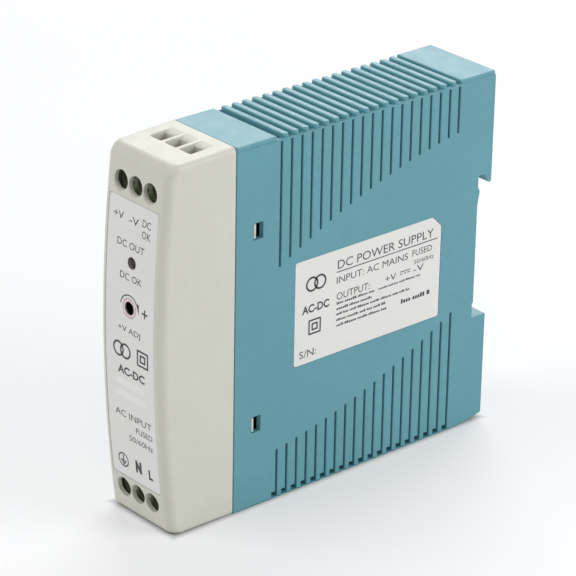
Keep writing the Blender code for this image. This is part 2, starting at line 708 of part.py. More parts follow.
def led():
    y = FRONT_Y + 0.8 * MM
    radius = LED_HOLE_RADIUS - GAP
    profile = [
        (0, 0), (0.6 * radius, -0.2 * radius), (0.9 * radius, -0.6 * radius), (radius, -1.1 * radius),
        (radius, -4.5 * MM), (1.9 * MM, -4.5 * MM), (1.9 * MM, -5.5 * MM), (0, -5.5 * MM),
    ]
    lamp = turned("indicator_led", profile, "Y", (LED_X, y, LED_Z), LENS, 16)
    back = y + 5.5 * MM
    legs = []
    for z in (LED_Z - 1.27 * MM, LED_Z + 1.27 * MM):
        legs.append(((LED_X - 0.25 * MM, back - 0.5 * MM, z - 0.25 * MM), (LED_X + 0.25 * MM, back + 2 * MM, z + 0.25 * MM)))
    bends = [
        ((PART_FACE, back + 1.5 * MM, low[2] - 0.01 * MM), (LED_X + 0.24 * MM, back + 2.01 * MM, high[2] + 0.01 * MM))
        for low, high in legs
    ]
    join(lamp, boxes("join_led_legs", legs), boxes("join_led_bends", bends))


def trimmer():
    front = FRONT_Y + 3.4 * MM
    half = 3.3 * MM
    body = box(
        "trimmer_body",
        (TRIMMER_X - half, front, TRIMMER_Z - half),
        (TRIMMER_X + half, front + 4.6 * MM, TRIMMER_Z + half),
        TRIMMER_BLUE,
    )
    seat = rods("cut_trimmer_seat", [(TRIMMER_X, front, TRIMMER_Z)], 1.7 * MM, 2.4 * MM, "Y")
    cut(body, seat)
    pins = [
        (
            (PART_FACE, front + 2.2 * MM, TRIMMER_Z + z - 0.25 * MM),
            (TRIMMER_X - half + 0.5 * MM, front + 2.7 * MM, TRIMMER_Z + z + 0.25 * MM),
        )
        for z in (-2.54 * MM, 0, 2.54 * MM)
    ]
    join(body, boxes("join_trimmer_pins", pins))
    profile = [(0, 0), (1.1 * MM, 0), (1.3 * MM, -0.2 * MM), (1.3 * MM, -1.6 * MM), (0, -1.6 * MM)]
    rotor_front = front - 0.8 * MM
    rotor = turned("trimmer_rotor", profile, "Y", (TRIMMER_X, rotor_front, TRIMMER_Z), ROTOR_DARK, 20)
    cut(
        rotor,
        box(
            "cut_rotor_slot",
            (TRIMMER_X - 3 * MM, rotor_front - 1 * MM, TRIMMER_Z - 0.25 * MM),
            (TRIMMER_X + 3 * MM, rotor_front + 0.6 * MM, TRIMMER_Z + 0.25 * MM),
        ),
    )


def capacitor(name, centre_y, centre_z, radius, length):
    """A can lying along Z against the board, with a crimped neck near its lower end."""
    x = PART_FACE + radius
    top = length / 2
    neck = -top + 2.2 * MM
    profile = [
        (0, top), (radius - 0.4 * MM, top), (radius, top - 0.4 * MM), (radius, neck + 0.8 * MM),
        (radius - 0.5 * MM, neck), (radius, neck - 0.8 * MM), (radius, -top + 0.4 * MM),
        (radius - 0.4 * MM, -top), (0, -top),
    ]
    turned(name, profile, "Z", (x, FRONT_Y + centre_y, centre_z), SLEEVE)


def package(name, centre_y, centre_z, size, look, edge=0.3 * MM):
    """A block on the board: size is its height off the board, its length along Y and its length along Z."""
    height, length_y, length_z = size
    y = FRONT_Y + centre_y
    return box(
        name,
        (PART_FACE, y - length_y / 2, centre_z - length_z / 2),
        (PART_FACE + height, y + length_y / 2, centre_z + length_z / 2),
        look,
        edge,
    )


def disc(name, centre_y, centre_z, radius, thickness, look):
    """A dipped disc standing on the board, thin along Y."""
    y = FRONT_Y + centre_y
    x = PART_FACE + radius
    profile = [
        (0, thickness / 2), (radius - 0.8 * MM, thickness / 2), (radius, thickness / 6),
        (radius, -thickness / 6), (radius - 0.8 * MM, -thickness / 2), (0, -thickness / 2),
    ]
    turned(name, profile, "Y", (x, y, centre_z), look)


def transformer():
    """An E core with its winding on the middle leg."""
    y, z = FRONT_Y + 54 * MM, 43 * MM
    depth, height, leg = 9 * MM, 9.5 * MM, 2.4 * MM
    low_x, high_x = PART_FACE + 2 * MM, PART_FACE + 15 * MM
    core = box("transformer_core", (low_x, y - depth, z - height), (high_x, y + depth, z + height), FERRITE)
    windows = [
        ((low_x - 1 * MM, y - depth + leg, z + side * leg), (high_x + 1 * MM, y + depth - leg, z + side * (height - leg)))
        for side in (1, -1)
    ]
    cut(core, boxes("cut_core_windows", windows))
    reach = depth - leg - GAP
    winding = box(
        "transformer_winding",
        (PART_FACE, y - reach, z - height + leg + GAP),
        (high_x + 1.6 * MM, y + reach, z + height - leg - GAP),
        TAPE,
        edge=0.8 * MM,
    )
    leg_hole = box(
        "cut_winding_bore",
        (low_x - GAP, y - depth, z - leg - GAP),
        (high_x + GAP, y + depth, z + leg + GAP),
    )
    cut(winding, leg_hole)


def ring(name, centre_y, centre_z, look):
    """A toroidal choke standing off the board, its axis across the case."""
    bm = bmesh.new()
    outer, inner, half = 6.5 * MM, 2.6 * MM, 3.4 * MM
    bmesh.ops.create_cone(bm, cap_ends=True, segments=20, radius1=outer, radius2=outer, depth=2 * half)
    mesh = bpy.data.meshes.new(name)
    bm.to_mesh(mesh)
    bm.free()
    choke = add_object(name, mesh, look)
    choke.matrix_world = Matrix.Translation((PART_FACE + half, FRONT_Y + centre_y, centre_z)) @ TURN["X"]
    bevel(choke, 1.2 * MM)
    centre = (PART_FACE + half, FRONT_Y + centre_y, centre_z)
    cut(choke, rods("cut_" + name + "_bore", [centre], inner, 12 * MM, "X", steps=16))


def cooled_device(name, plate_y, low_z, high_z):
    """An upright aluminium plate on the board, with the device that it cools on its front."""
    y = FRONT_Y + plate_y
    heatsink = box(
        name + "_heatsink", (PART_FACE, y, low_z), (PART_FACE + 15 * MM, y + 1.5 * MM, high_z), ALUMINIUM
    )
    foot = box("join_" + name + "_foot", (PART_FACE, y, low_z), (PART_FACE + 1.5 * MM, y + 6 * MM, high_z))
    join(heatsink, foot)
    middle = (low_z + high_z) / 2
    body = box(
        name,
        (PART_FACE + 3 * MM, y - GAP - 4.4 * MM, middle - 5 * MM),
        (PART_FACE + 12 * MM, y - GAP, middle + 5 * MM),
        EPOXY_BLACK,
    )
    legs = [
        (
            (PART_FACE, y - GAP - 2.9 * MM, middle + z - 0.4 * MM),
            (PART_FACE + 3.5 * MM, y - GAP - 2.4 * MM, middle + z + 0.4 * MM),
        )
        for z in (-2.54 * MM, 0, 2.54 * MM)
    ]
    join(body, boxes("join_" + name + "_legs", legs))


def inline_package(name, centre_y, centre_z, rows, look):
    """A dual in-line package with a leg every 2.54 mm along Z on both sides."""
    pitch = 2.54 * MM
    length = rows * pitch - 0.3 * MM
    y = FRONT_Y + centre_y
    low, high = PART_FACE + 0.8 * MM, PART_FACE + 4.2 * MM
    body = box(name, (low, y - 3.1 * MM, centre_z - length / 2), (high, y + 3.1 * MM, centre_z + length / 2), look)
    shoulders, legs = [], []
    for row in range(rows):
        z = centre_z + (row - (rows - 1) / 2) * pitch
        shoulders.append(((low + 1.4 * MM, y - 4.0 * MM, z - 0.5 * MM), (low + 1.7 * MM, y + 4.0 * MM, z + 0.5 * MM)))
        for side in (1, -1):
            legs.append(((PART_FACE, y + side * 3.7 * MM, z - 0.25 * MM), (low + 1.6 * MM, y + side * 3.99 * MM, z + 0.25 * MM)))
    join(body, boxes("join_" + name + "_shoulders", shoulders), boxes("join_" + name + "_legs", legs))


def fuse():
    """A small fuse lying along Y, with a cap at each end."""
    length, radius = 10 * MM, 2.3 * MM
    half = length / 2
    profile = [
        (0, half), (radius, half), (radius, half - 2.5 * MM), (radius - 0.3 * MM, half - 2.5 * MM),
        (radius - 0.3 * MM, -half + 2.5 * MM), (radius, -half + 2.5 * MM), (radius, -half), (0, -half),
    ]
    turned("fuse", profile, "Y", (PART_FACE + radius, FRONT_Y + 39 * MM, 8 * MM), FUSE_BROWN, 16)


def board_parts():
    fuse()
    disc("inrush_thermistor", 49.5 * MM, 8.5 * MM, 4.5 * MM, 4.0 * MM, THERMISTOR)
    package("mains_filter_capacitor", 60.5 * MM, 9.0 * MM, (11 * MM, 13 * MM, 6 * MM), FILM_BOX)
    ring("line_choke", 78.5 * MM, 11.5 * MM, COPPER)
    inline_package("bridge_rectifier", 38 * MM, 20 * MM, 2, EPOXY_BLACK)
    capacitor("bulk_capacitor", 83.5 * MM, 33 * MM, 6.3 * MM, 22 * MM)
    cooled_device("switching_transistor", 70 * MM, 22 * MM, 36 * MM)
    transformer()
    inline_package("controller_chip", 37 * MM, 36 * MM, 4, EPOXY_BLACK)
    inline_package("optocoupler", 37 * MM, 50 * MM, 2, EPOXY_BLACK)
    disc("safety_capacitor", 68 * MM, 48 * MM, 4.0 * MM, 3.5 * MM, CERAMIC)
    cooled_device("output_diode", 86 * MM, 52 * MM, 66 * MM)
    capacitor("output_capacitor_1", 40 * MM, 68 * MM, 4.0 * MM, 16 * MM)
    capacitor("output_capacitor_2", 50 * MM, 68 * MM, 4.0 * MM, 16 * MM)
    capacitor("output_capacitor_3", 60 * MM, 68 * MM, 3.15 * MM, 12 * MM)
    ring("output_choke", 80 * MM, 78 * MM, COPPER)


rear_housing()
front_cover()
labels()
din_latch()
latch_spring()
for block_name, block_end in (("output", 1), ("input", -1)):
    terminal_block(block_name + "_terminal_block", block_end)
    for pole_number, pole_x in enumerate(POLE_XS, 1):
        terminal_pole(block_name + "_" + str(pole_number), pole_x, block_end)
circuit_board()
led()
trimmer()
board_parts()
for part in PARTS.objects:
    if part.type == "MESH" and "turn" in part.modifiers:
        shade_round(part)
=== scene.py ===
"""DIN rail power supply: its looks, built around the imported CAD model.

Lengths are in metres and MM is a millimetre. Along Y, places are given from the front, and along Z from
the base. The case, the labels and the latch's spring are drawn again with finer shapes, which replace their
CAD nodes. The rest of the nodes get materials."""

import json
import math

import bmesh
import bpy
from mathutils import Matrix, Quaternion, Vector


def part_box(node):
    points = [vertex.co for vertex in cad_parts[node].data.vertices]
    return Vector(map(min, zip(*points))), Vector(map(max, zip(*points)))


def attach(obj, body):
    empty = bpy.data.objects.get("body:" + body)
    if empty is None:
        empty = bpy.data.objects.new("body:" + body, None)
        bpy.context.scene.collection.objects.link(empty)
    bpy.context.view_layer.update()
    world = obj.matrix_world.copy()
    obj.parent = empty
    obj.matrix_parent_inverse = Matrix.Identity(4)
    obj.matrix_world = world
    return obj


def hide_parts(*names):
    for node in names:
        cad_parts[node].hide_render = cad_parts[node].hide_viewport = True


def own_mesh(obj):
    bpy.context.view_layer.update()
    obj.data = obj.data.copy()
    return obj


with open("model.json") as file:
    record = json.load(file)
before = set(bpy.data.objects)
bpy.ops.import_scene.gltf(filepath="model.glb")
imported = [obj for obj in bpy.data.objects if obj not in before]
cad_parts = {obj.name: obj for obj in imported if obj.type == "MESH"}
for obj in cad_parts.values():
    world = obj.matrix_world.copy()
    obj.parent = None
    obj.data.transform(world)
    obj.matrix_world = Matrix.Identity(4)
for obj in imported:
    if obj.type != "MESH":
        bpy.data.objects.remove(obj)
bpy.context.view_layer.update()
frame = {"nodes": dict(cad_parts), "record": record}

MM = 0.001

# Places and sizes that come from the CAD nodes
HOUSING_LOW, HOUSING_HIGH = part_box("rear_housing")
COVER_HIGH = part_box("front_cover")[1]
HALF_WIDTH = HOUSING_HIGH.x
REAR_Y = HOUSING_HIGH.y
FRONT_Y = -REAR_Y
HEIGHT = COVER_HIGH.z
TOP_Z = HOUSING_HIGH.z
SEAM_Y = HOUSING_LOW.y
JOINT_GAP = 0.3 * MM

# The case's walls, and half the width between its side walls
WALL = 1.5 * MM
INNER_HALF = 9.8 * MM


def from_front(distance):
    """The Y of a place that many millimetres behind the foremost point."""
    return FRONT_Y + distance * MM


# Shapes


WELD = 1e-7

# What turns a flat shape's (u, v, depth) so that it is swept along each axis
AXES = {
    "X": Matrix(((0, 0, 1, 0), (1, 0, 0, 0), (0, 1, 0, 0), (0, 0, 0, 1))),
    "Y": Matrix(((1, 0, 0, 0), (0, 0, 1, 0), (0, 1, 0, 0), (0, 0, 0, 1))),
    "Z": Matrix.Identity(4),
}


def new_object(name, mesh):
    obj = bpy.data.objects.new(name, mesh)
    bpy.context.scene.collection.objects.link(obj)
    return obj


def evaluated_mesh(obj):
    bpy.context.view_layer.update()
    return bpy.data.meshes.new_from_object(obj.evaluated_get(bpy.context.evaluated_depsgraph_get()))


def mesh_of(curve):
    """The mesh of a curve, which is then removed."""
    source = new_object("source", curve)
    mesh = evaluated_mesh(source)
    bpy.data.objects.remove(source)
    bpy.data.curves.remove(curve)
    return mesh


def filled_curve(name, outlines):
    """A flat curve that is filled inside the first outline and outside the others."""
    curve = bpy.data.curves.new(name, "CURVE")
    curve.dimensions = "2D"
    curve.fill_mode = "BOTH"
    for outline in outlines:
        spline = curve.splines.new("POLY")
        spline.points.add(len(outline) - 1)
        for point, (u, v) in zip(spline.points, outline):
            point.co = (u, v, 0, 1)
        spline.use_cyclic_u = True
    return curve


def outward(bm):
    """Turns the faces of a closed mesh outwards."""
    bmesh.ops.recalc_face_normals(bm, faces=bm.faces)
    if bm.calc_volume(signed=True) < 0:
        bmesh.ops.reverse_faces(bm, faces=bm.faces)


def tidy_mesh(mesh, matrix=None):
    """Welds the points of a closed mesh, moves it by the matrix and turns its faces outwards."""
    bm = bmesh.new()
    bm.from_mesh(mesh)
    bmesh.ops.remove_doubles(bm, verts=bm.verts, dist=WELD)
    if matrix:
        bm.transform(matrix)
    outward(bm)
    bm.to_mesh(mesh)
    bm.free()
    return mesh


def slab(name, outlines, low, high, edge=0.0, axis="X", steps=2):
    """The flat shape inside the first outline and outside the others, made solid along the axis from low
    to high. Its edges are rounded by the radius edge. Points are (y, z), (x, z) or (x, y)."""
    curve = filled_curve(name, outlines)
    curve.extrude = (high - low) / 2 - edge
    curve.bevel_depth = edge
    curve.bevel_resolution = steps
    curve.offset = -edge
    mesh = tidy_mesh(mesh_of(curve), AXES[axis] @ Matrix.Translation((0, 0, (low + high) / 2)))
    mesh.name = name
    return new_object(name, mesh)


def block(name, low, high):
    """A box used only to add to another piece or to cut it."""
    bm = bmesh.new()
    bmesh.ops.create_cube(bm, size=1)
    size = [b - a for a, b in zip(low, high)]
    middle = [(a + b) / 2 for a, b in zip(low, high)]
    bm.transform(Matrix.Translation(middle) @ Matrix.Diagonal((*size, 1)))
    mesh = bpy.data.meshes.new(name)
    bm.to_mesh(mesh)
    bm.free()
    return new_object(name, mesh)


def join(name, objects):
    """One object that holds the meshes of several, which are then removed."""
    bm = bmesh.new()
    for obj in objects:
        bm.from_mesh(obj.data)
        bpy.data.objects.remove(obj)
    mesh = bpy.data.meshes.new(name)
    bm.to_mesh(mesh)
    bm.free()
    return new_object(name, mesh)


def loft(name, rings):
    """A closed shape through rings of points, all rings having the same number."""
    bm = bmesh.new()
    rings = [[bm.verts.new(point) for point in ring] for ring in rings]
    for one, two in zip(rings, rings[1:]):
        for i in range(len(one)):
            j = (i + 1) % len(one)
            bm.faces.new((one[i], one[j], two[j], two[i]))
    bm.faces.new(rings[0])
    bm.faces.new(rings[-1])
    outward(bm)
    mesh = bpy.data.meshes.new(name)
    bm.to_mesh(mesh)
    bm.free()
    return new_object(name, mesh)


def settle(obj):
    """Turns an object's modifiers into mesh."""
    mesh = evaluated_mesh(obj)
    obj.modifiers.clear()
    old, obj.data = obj.data, mesh
    bpy.data.meshes.remove(old)


def combine(target, operation, *tools):
    """Adds the tools to the target, cuts them out of it or keeps what they share, and removes them."""
    for tool in tools:
        modifier = target.modifiers.new("combine", "BOOLEAN")
        modifier.operation = operation
        modifier.solver = "EXACT"
        modifier.object = tool
    settle(target)
    for tool in tools:
        bpy.data.objects.remove(tool)


def smooth(obj, angle=32):
    """Smooth shading with crisp edges, and flat faces that stay flat beside rounded ones."""
    for polygon in obj.data.polygons:
        polygon.use_smooth = True
    obj.data.set_sharp_from_angle(angle=math.radians(angle))
    modifier = obj.modifiers.new("weighted_normals", "WEIGHTED_NORMAL")
    modifier.keep_sharp = True
    modifier.weight = 80


def arc(centre, radius, start, end, steps):
    """Points round part of a circle, from the start angle to the end angle in degrees."""
    angles = [math.radians(start + (end - start) * i / steps) for i in range(steps + 1)]
    return [(centre[0] + radius * math.cos(a), centre[1] + radius * math.sin(a)) for a in angles]


def rounded(points, radius, steps=3):
    """The closed outline with its corners rounded, each by no more than 0.4 of the sides beside it."""
    result = []
    for index, point in enumerate(points):
        here = Vector(point)
        before = Vector(points[index - 1]) - here
        after = Vector(points[(index + 1) % len(points)]) - here
        angle = before.angle(after)
        reach = min(radius / math.tan(angle / 2), 0.4 * before.length, 0.4 * after.length)
        first, last = here + before.normalized() * reach, here + after.normalized() * reach
        for step in range(steps + 1):
            t = step / steps
            result.append(tuple((1 - t) ** 2 * first + 2 * t * (1 - t) * here + t * t * last))
    return result


def rectangle(low_u, low_v, high_u, high_v, radius=0.0, steps=3):
    points = [(low_u, low_v), (high_u, low_v), (high_u, high_v), (low_u, high_v)]
    return rounded(points, radius, steps) if radius else points


def circle(u, v, radius, steps=48):
    return arc((u, v), radius, 0, 360 * (steps - 1) / steps, steps - 1)


def stadium(reach, y, half, steps):
    """A bar with round ends across the object, out to the reach on both sides."""
    end = reach - half
    return arc((end, y), half, -90, 90, steps) + arc((-end, y), half, 90, 270, steps)


def middle_of(node):
    low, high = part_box(node)
    return (low + high) / 2


# Materials


NOISE_BAND = (0.3, 0.7)  # where nearly all values of a noise lie


def scaled(colour, factor):
    return tuple(min(1.0, channel * factor) for channel in colour) + (1.0,)


class Surface:
    """A material built from nodes, in the object's own metres: a noise scale of 1000 is a millimetre."""

    def __init__(self, name, colour, roughness, metallic=0.0):
        self.material = bpy.data.materials.new(name)
        self.material.use_nodes = True
        self.nodes = self.material.node_tree.nodes
        self.links = self.material.node_tree.links
        self.shader = self.nodes["Principled BSDF"]
        self.shader.inputs["Metallic"].default_value = metallic
        self.colour = colour
        self.roughness = roughness
        self.place = self.nodes.new("ShaderNodeTexCoord").outputs["Object"]
        self.base = None
        self.normal = None

    def noise(self, scale, detail, stretch=None):
        node = self.nodes.new("ShaderNodeTexNoise")
        node.inputs["Scale"].default_value = scale
        node.inputs["Detail"].default_value = detail
        place = self.place
        if stretch:
            mapping = self.nodes.new("ShaderNodeMapping")
            mapping.inputs["Scale"].default_value = stretch
            self.links.new(self.place, mapping.inputs["Vector"])
            place = mapping.outputs["Vector"]
        self.links.new(place, node.inputs["Vector"])
        return node.outputs["Fac"]

    def compute(self, operation, *sources):
        """A Math node. Each source is another node's output or a number."""
        node = self.nodes.new("ShaderNodeMath")
        node.operation = operation
        for socket, source in zip(node.inputs, sources):
            if isinstance(source, float):
                socket.default_value = source
            else:
                self.links.new(source, socket)
        return node.outputs[0]

    def remap(self, source, low, high, to_low, to_high):
        node = self.nodes.new("ShaderNodeMapRange")
        values = {"From Min": low, "From Max": high, "To Min": to_low, "To Max": to_high}
        for name, value in values.items():
            node.inputs[name].default_value = value
        self.links.new(source, node.inputs["Value"])
        return node.outputs["Result"]

    def mix(self, factor, first, second):
        """Blends two colours."""
        node = self.nodes.new("ShaderNodeMix")
        node.data_type = "RGBA"
        self.links.new(factor, node.inputs["Factor"])
        node.inputs[6].default_value = first
        node.inputs[7].default_value = second
        return node.outputs[2]

    def tone(self, scale, amount, stretch=None):
        """Lightens and darkens the colour over patches of about 1 / scale."""
        factor = self.remap(self.noise(scale, 3.0, stretch), *NOISE_BAND, 0.0, 1.0)
        darker, lighter = 1 - amount, 1 + amount
        if self.base is None:
            self.base = self.mix(factor, scaled(self.colour, darker), scaled(self.colour, lighter))
        else:
            shade = self.mix(factor, (darker,) * 3 + (1,), (lighter,) * 3 + (1,))
            node = self.nodes.new("ShaderNodeMix")
            node.data_type = "RGBA"
            node.blend_type = "MULTIPLY"
            node.inputs["Factor"].default_value = 1.0
            self.links.new(self.base, node.inputs[6])
            self.links.new(shade, node.inputs[7])
            self.base = node.outputs[2]
        return self

    def grain(self, scale, height, stretch=None):
        """Raises and lowers the surface by about the height."""
        bump = self.nodes.new("ShaderNodeBump")
        bump.inputs["Distance"].default_value = height
        bump.inputs["Strength"].default_value = 1.0
        self.links.new(self.noise(scale, 4.0, stretch), bump.inputs["Height"])
        if self.normal:
            self.links.new(self.normal, bump.inputs["Normal"])
        self.normal = bump.outputs["Normal"]
        return self

    def polish(self, scale, amount, stretch=None):
        """Varies the roughness round its middle value."""
        low, high = self.roughness - amount, self.roughness + amount
        varied = self.remap(self.noise(scale, 4.0, stretch), *NOISE_BAND, low, high)
        self.links.new(varied, self.shader.inputs["Roughness"])
        return self

    def done(self, **sockets):
        """Connects the colour and the bump, and sets shader sockets that are the same all over."""
        if self.base:
            self.links.new(self.base, self.shader.inputs["Base Color"])
        if self.normal:
            self.links.new(self.normal, self.shader.inputs["Normal"])
        for name, value in sockets.items():
            self.shader.inputs[name.replace("_", " ")].default_value = value
        return self.material


def housing_plastic():
    teal = (0.093, 0.280, 0.333)
    surface = Surface("housing_plastic", teal, 0.44).tone(38, 0.035).tone(420, 0.02)
    return surface.grain(5200, 0.012 * MM).grain(900, 0.01 * MM).polish(260, 0.05).done()


def cover_plastic():
    cream = (0.569, 0.567, 0.501)
    surface = Surface("cover_plastic", cream, 0.47).tone(45, 0.02).tone(500, 0.012)
    return surface.grain(5200, 0.012 * MM).grain(900, 0.01 * MM).polish(260, 0.05).done()


def label_film():
    surface = Surface("label_film", (0.682, 0.677, 0.662), 0.42).tone(60, 0.015).tone(1400, 0.012)
    return surface.grain(2600, 0.004 * MM).polish(700, 0.05).done()


def blank_patch():
    surface = Surface("label_blank_patch", (0.740, 0.735, 0.721), 0.36).tone(80, 0.012).tone(1500, 0.01)
    return surface.grain(2400, 0.003 * MM).polish(700, 0.05).done()


def print_ink(name, colour):
    surface = Surface(name, colour, 0.5).tone(3200, 0.3).tone(300, 0.1)
    return surface.grain(4200, 0.002 * MM).polish(900, 0.06).done()


def moulded(name, colour, roughness=0.45, tone=0.05, grain=0.01):
    surface = Surface(name, colour, roughness).tone(120, tone).tone(900, tone / 2)
    return surface.grain(3600, grain * MM).polish(500, 0.06).done()


def plated(name, colour, roughness=0.3, stretch=None):
    surface = Surface(name, colour, roughness, metallic=1.0).tone(500, 0.08).tone(2600, 0.05, stretch)
    return surface.grain(4200, 0.006 * MM, stretch).polish(900, 0.08, stretch).done()


MATERIALS = {
    "housing_plastic": housing_plastic(),
    "cover_plastic": cover_plastic(),
    "label_film": label_film(),
    "terminal_plastic": moulded("terminal_plastic", (0.11, 0.135, 0.07), 0.5),
    "screw_steel": plated("screw_steel", (0.62, 0.62, 0.60), 0.32, (1.0, 0.15, 1.0)),
    "clamp_steel": plated("clamp_steel", (0.66, 0.61, 0.44), 0.34, (1.0, 0.2, 1.0)),
    "tinned_brass": plated("tinned_brass", (0.72, 0.70, 0.62), 0.30, (0.2, 1.0, 1.0)),
    "spring_steel": plated("spring_steel", (0.45, 0.45, 0.46), 0.30),
    "board_laminate": moulded("board_laminate", (0.035, 0.165, 0.065), 0.38, 0.12, 0.02),
    "ferrite": moulded("ferrite", (0.045, 0.045, 0.048), 0.7, 0.15, 0.03),
    "winding_tape": moulded("winding_tape", (0.72, 0.56, 0.12), 0.4, 0.08, 0.01),
    "capacitor_sleeve": moulded("capacitor_sleeve", (0.03, 0.035, 0.09), 0.3, 0.1, 0.006),
    "epoxy_black": moulded("epoxy_black", (0.022, 0.022, 0.024), 0.5, 0.15, 0.012),
    "film_box": moulded("film_box", (0.68, 0.52, 0.10), 0.42, 0.06, 0.01),
    "ceramic_blue": moulded("ceramic_blue", (0.05, 0.20, 0.45), 0.35, 0.08, 0.02),
    "thermistor_coat": moulded("thermistor_coat", (0.055, 0.095, 0.055), 0.5, 0.12, 0.02),
    "heatsink_aluminium": plated("heatsink_aluminium", (0.75, 0.76, 0.77), 0.36, (1.0, 1.0, 0.15)),
    "copper_winding": plated("copper_winding", (0.70, 0.34, 0.17), 0.28, (1.0, 4.0, 1.0)),
    "led_lens": moulded("led_lens", (0.03, 0.02, 0.019), 0.6, 0.1, 0.004),
    "trimmer_body": moulded("trimmer_body", (0.16, 0.14, 0.115), 0.5, 0.06, 0.008),
    "trimmer_rotor": moulded("trimmer_rotor", (0.10, 0.09, 0.08), 0.4, 0.06, 0.008),
    "fuse_body": moulded("fuse_body", (0.20, 0.07, 0.03), 0.4, 0.08, 0.01),
}
INK = print_ink("print_ink", (0.040, 0.040, 0.042))
PATCH = blank_patch()
PINK = print_ink("print_pink", (0.45, 0.32, 0.32))
PALE_PINK = print_ink("print_pale_pink", (0.66, 0.55, 0.55))


def dress(obj, slot, material=None):
    """Gives a finished piece the material of its slot, or the material given, and fixes it to the case."""
    obj.data.materials.clear()
    obj.data.materials.append(material or MATERIALS[slot])
    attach(obj, "case")


# Rear housing

RIM_Z = 89.25 * MM
RIM_WIDTH = 0.2 * MM
HOUSING_EDGE = 0.2 * MM
ROOF_LOW_Z = TOP_Z - WALL

# The vents. The pitch and the place of the first are in millimetres from the front
VENT_COUNT = 19
VENT_PITCH = 3.01
VENT_FIRST = 34.2
VENT_HALF = 0.28 * MM
VENT_TOP = 89.8 * MM
VENT_CUT_TOP = RIM_Z - 0.45 * MM
NOTCH_FRONT = 1.4 * MM
NOTCH_LOW, NOTCH_HIGH = 0.3 * MM, 1.6 * MM

# The roof's ribs, grooves and end plates
RIB_HALF = 0.92 * MM
RIB_END = HALF_WIDTH - RIM_WIDTH
RIB_EDGE = 0.42 * MM
RIB_FOOT = RIM_Z - 0.9 * MM
GROOVE_SHIFT = 0.05 * MM
GROOVE_HALF = 0.6 * MM
GROOVE_END = HALF_WIDTH - 0.9 * MM
FRONT_PLATE_REAR, REAR_PLATE_FRONT = 33.0, 88.85

# The snap windows, and the rail slot's wall, its step, its ledge and its hook, in millimetres
WINDOW = (26.4, 29.1)
WINDOW_ZS = (21.0, 69.0)
WINDOW_HALF = 2.0
SLOT_WALL, SLOT_STEP = 95.8, 95.5
LEDGE = 28.0
HOOK = 64.6

# The latch's guide, the channel behind it and the lug below its spring, in millimetres
GUIDE_HALF, GUIDE_FRONT, GUIDE_REAR, GUIDE_LOW = 7.5, 95.1, 97.1, 1.8
CHANNEL_HALF, CHANNEL_FRONT = 5.8, 97.0
LUG_HALF, LUG_FRONT, LUG_REAR = 1.8, 94.7, 97.5
LUG_LOW, LUG_HIGH = 6.6, 8.0


def vent_length(index):
    """The lower vents' lengths follow a quadratic, and the upper ones are the same from the other end."""
    return (12.6 + 0.478 * index + 0.0315 * index**2) * MM


def vent_y(index):
    return from_front(VENT_FIRST + VENT_PITCH * index)


def side_outline():
    """The side view of the housing up to its rim, with the rail slot in its rear."""
    rail_side = [
        (92.7, 0), (100, 1.4), (100, LEDGE), (SLOT_STEP, LEDGE), (SLOT_STEP, 31.8),
        (SLOT_WALL, 31.8), (SLOT_WALL, 57.1), (96.4, 60.6), (SLOT_WALL, 61.8), (SLOT_WALL, HOOK),
        (97.4, HOOK), (98.8, 62.5), (99.6, 62.1), (100, 62.6), (100, RIM_Z / MM),
    ]
    corners = [(SEAM_Y, RIM_Z), (SEAM_Y, 0)] + [(from_front(y), z * MM) for y, z in rail_side]
    points = rounded(corners, 0.35 * MM)
    seam_points = 8  # the two corners at the seam stay sharp
    return [(SEAM_Y, 0)] + points[seam_points:] + [(SEAM_Y, RIM_Z)]


def vents():
    """The slots in the side walls. Each lower one starts as a wider notch just above the base."""
    slots = []
    for index in range(VENT_COUNT):
        y = vent_y(index)
        front, rear, notch_front = y - VENT_HALF, y + VENT_HALF, y - NOTCH_FRONT
        foot = VENT_TOP - vent_length(VENT_COUNT - 1 - index) + VENT_HALF
        top = [(rear, VENT_CUT_TOP), (front, VENT_CUT_TOP)]
        slots.append(arc((y, foot), VENT_HALF, 180, 360, 6) + top)
        notch = [
            (front, NOTCH_HIGH), (notch_front, NOTCH_HIGH), (notch_front, NOTCH_LOW), (rear, NOTCH_LOW),
        ]
        slots.append(arc((y, vent_length(index) - VENT_HALF), VENT_HALF, 0, 180, 6) + notch)
    return slots


def raised(name, outline):
    """A flat-topped bar or plate on the roof, with rounded edges."""
    return slab(name, [outline], RIB_FOOT, TOP_Z, edge=RIB_EDGE, axis="Z", steps=4)


def groove(y):
    """The open slot in the roof beside a rib."""
    outline = stadium(GROOVE_END, y, GROOVE_HALF, 8)
    return slab("groove", [outline], ROOF_LOW_Z - 1 * MM, TOP_Z + 1 * MM, axis="Z")


def roof():
    """The raised plates at the two ends of the roof, and the ribs between them."""
    ends = (
        (SEAM_Y + 0.1 * MM, from_front(FRONT_PLATE_REAR)),
        (from_front(REAR_PLATE_FRONT), REAR_Y - 0.05 * MM),
    )
    plates = [raised("roof_plate", rectangle(-RIB_END, low, RIB_END, high, 0.4 * MM)) for low, high in ends]
    shift = GROOVE_SHIFT + VENT_PITCH / 2 * MM
    middles = [vent_y(index) + shift for index in range(VENT_COUNT - 1)]
    ribs = [raised("rib", stadium(RIB_END, y, RIB_HALF, 10)) for y in middles]
    return join("roof", plates + ribs)


def label_outline(grow=0.0):
    """The side label's outline, with its one cut corner, grown by a gap."""
    low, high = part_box("side_label")
    front, rear, foot, top = low.y - grow, high.y + grow, low.z - grow, high.z + grow
    cut = 2.8 * MM + 0.4 * grow
    points = [(front, foot), (rear, foot), (rear, top - cut), (rear - cut, top), (front, top)]
    return rounded(points, 0.6 * MM)


LABEL_FACE = HALF_WIDTH - 0.02 * MM
LABEL_THICK = 0.12 * MM
LABEL_GAP = 0.12 * MM


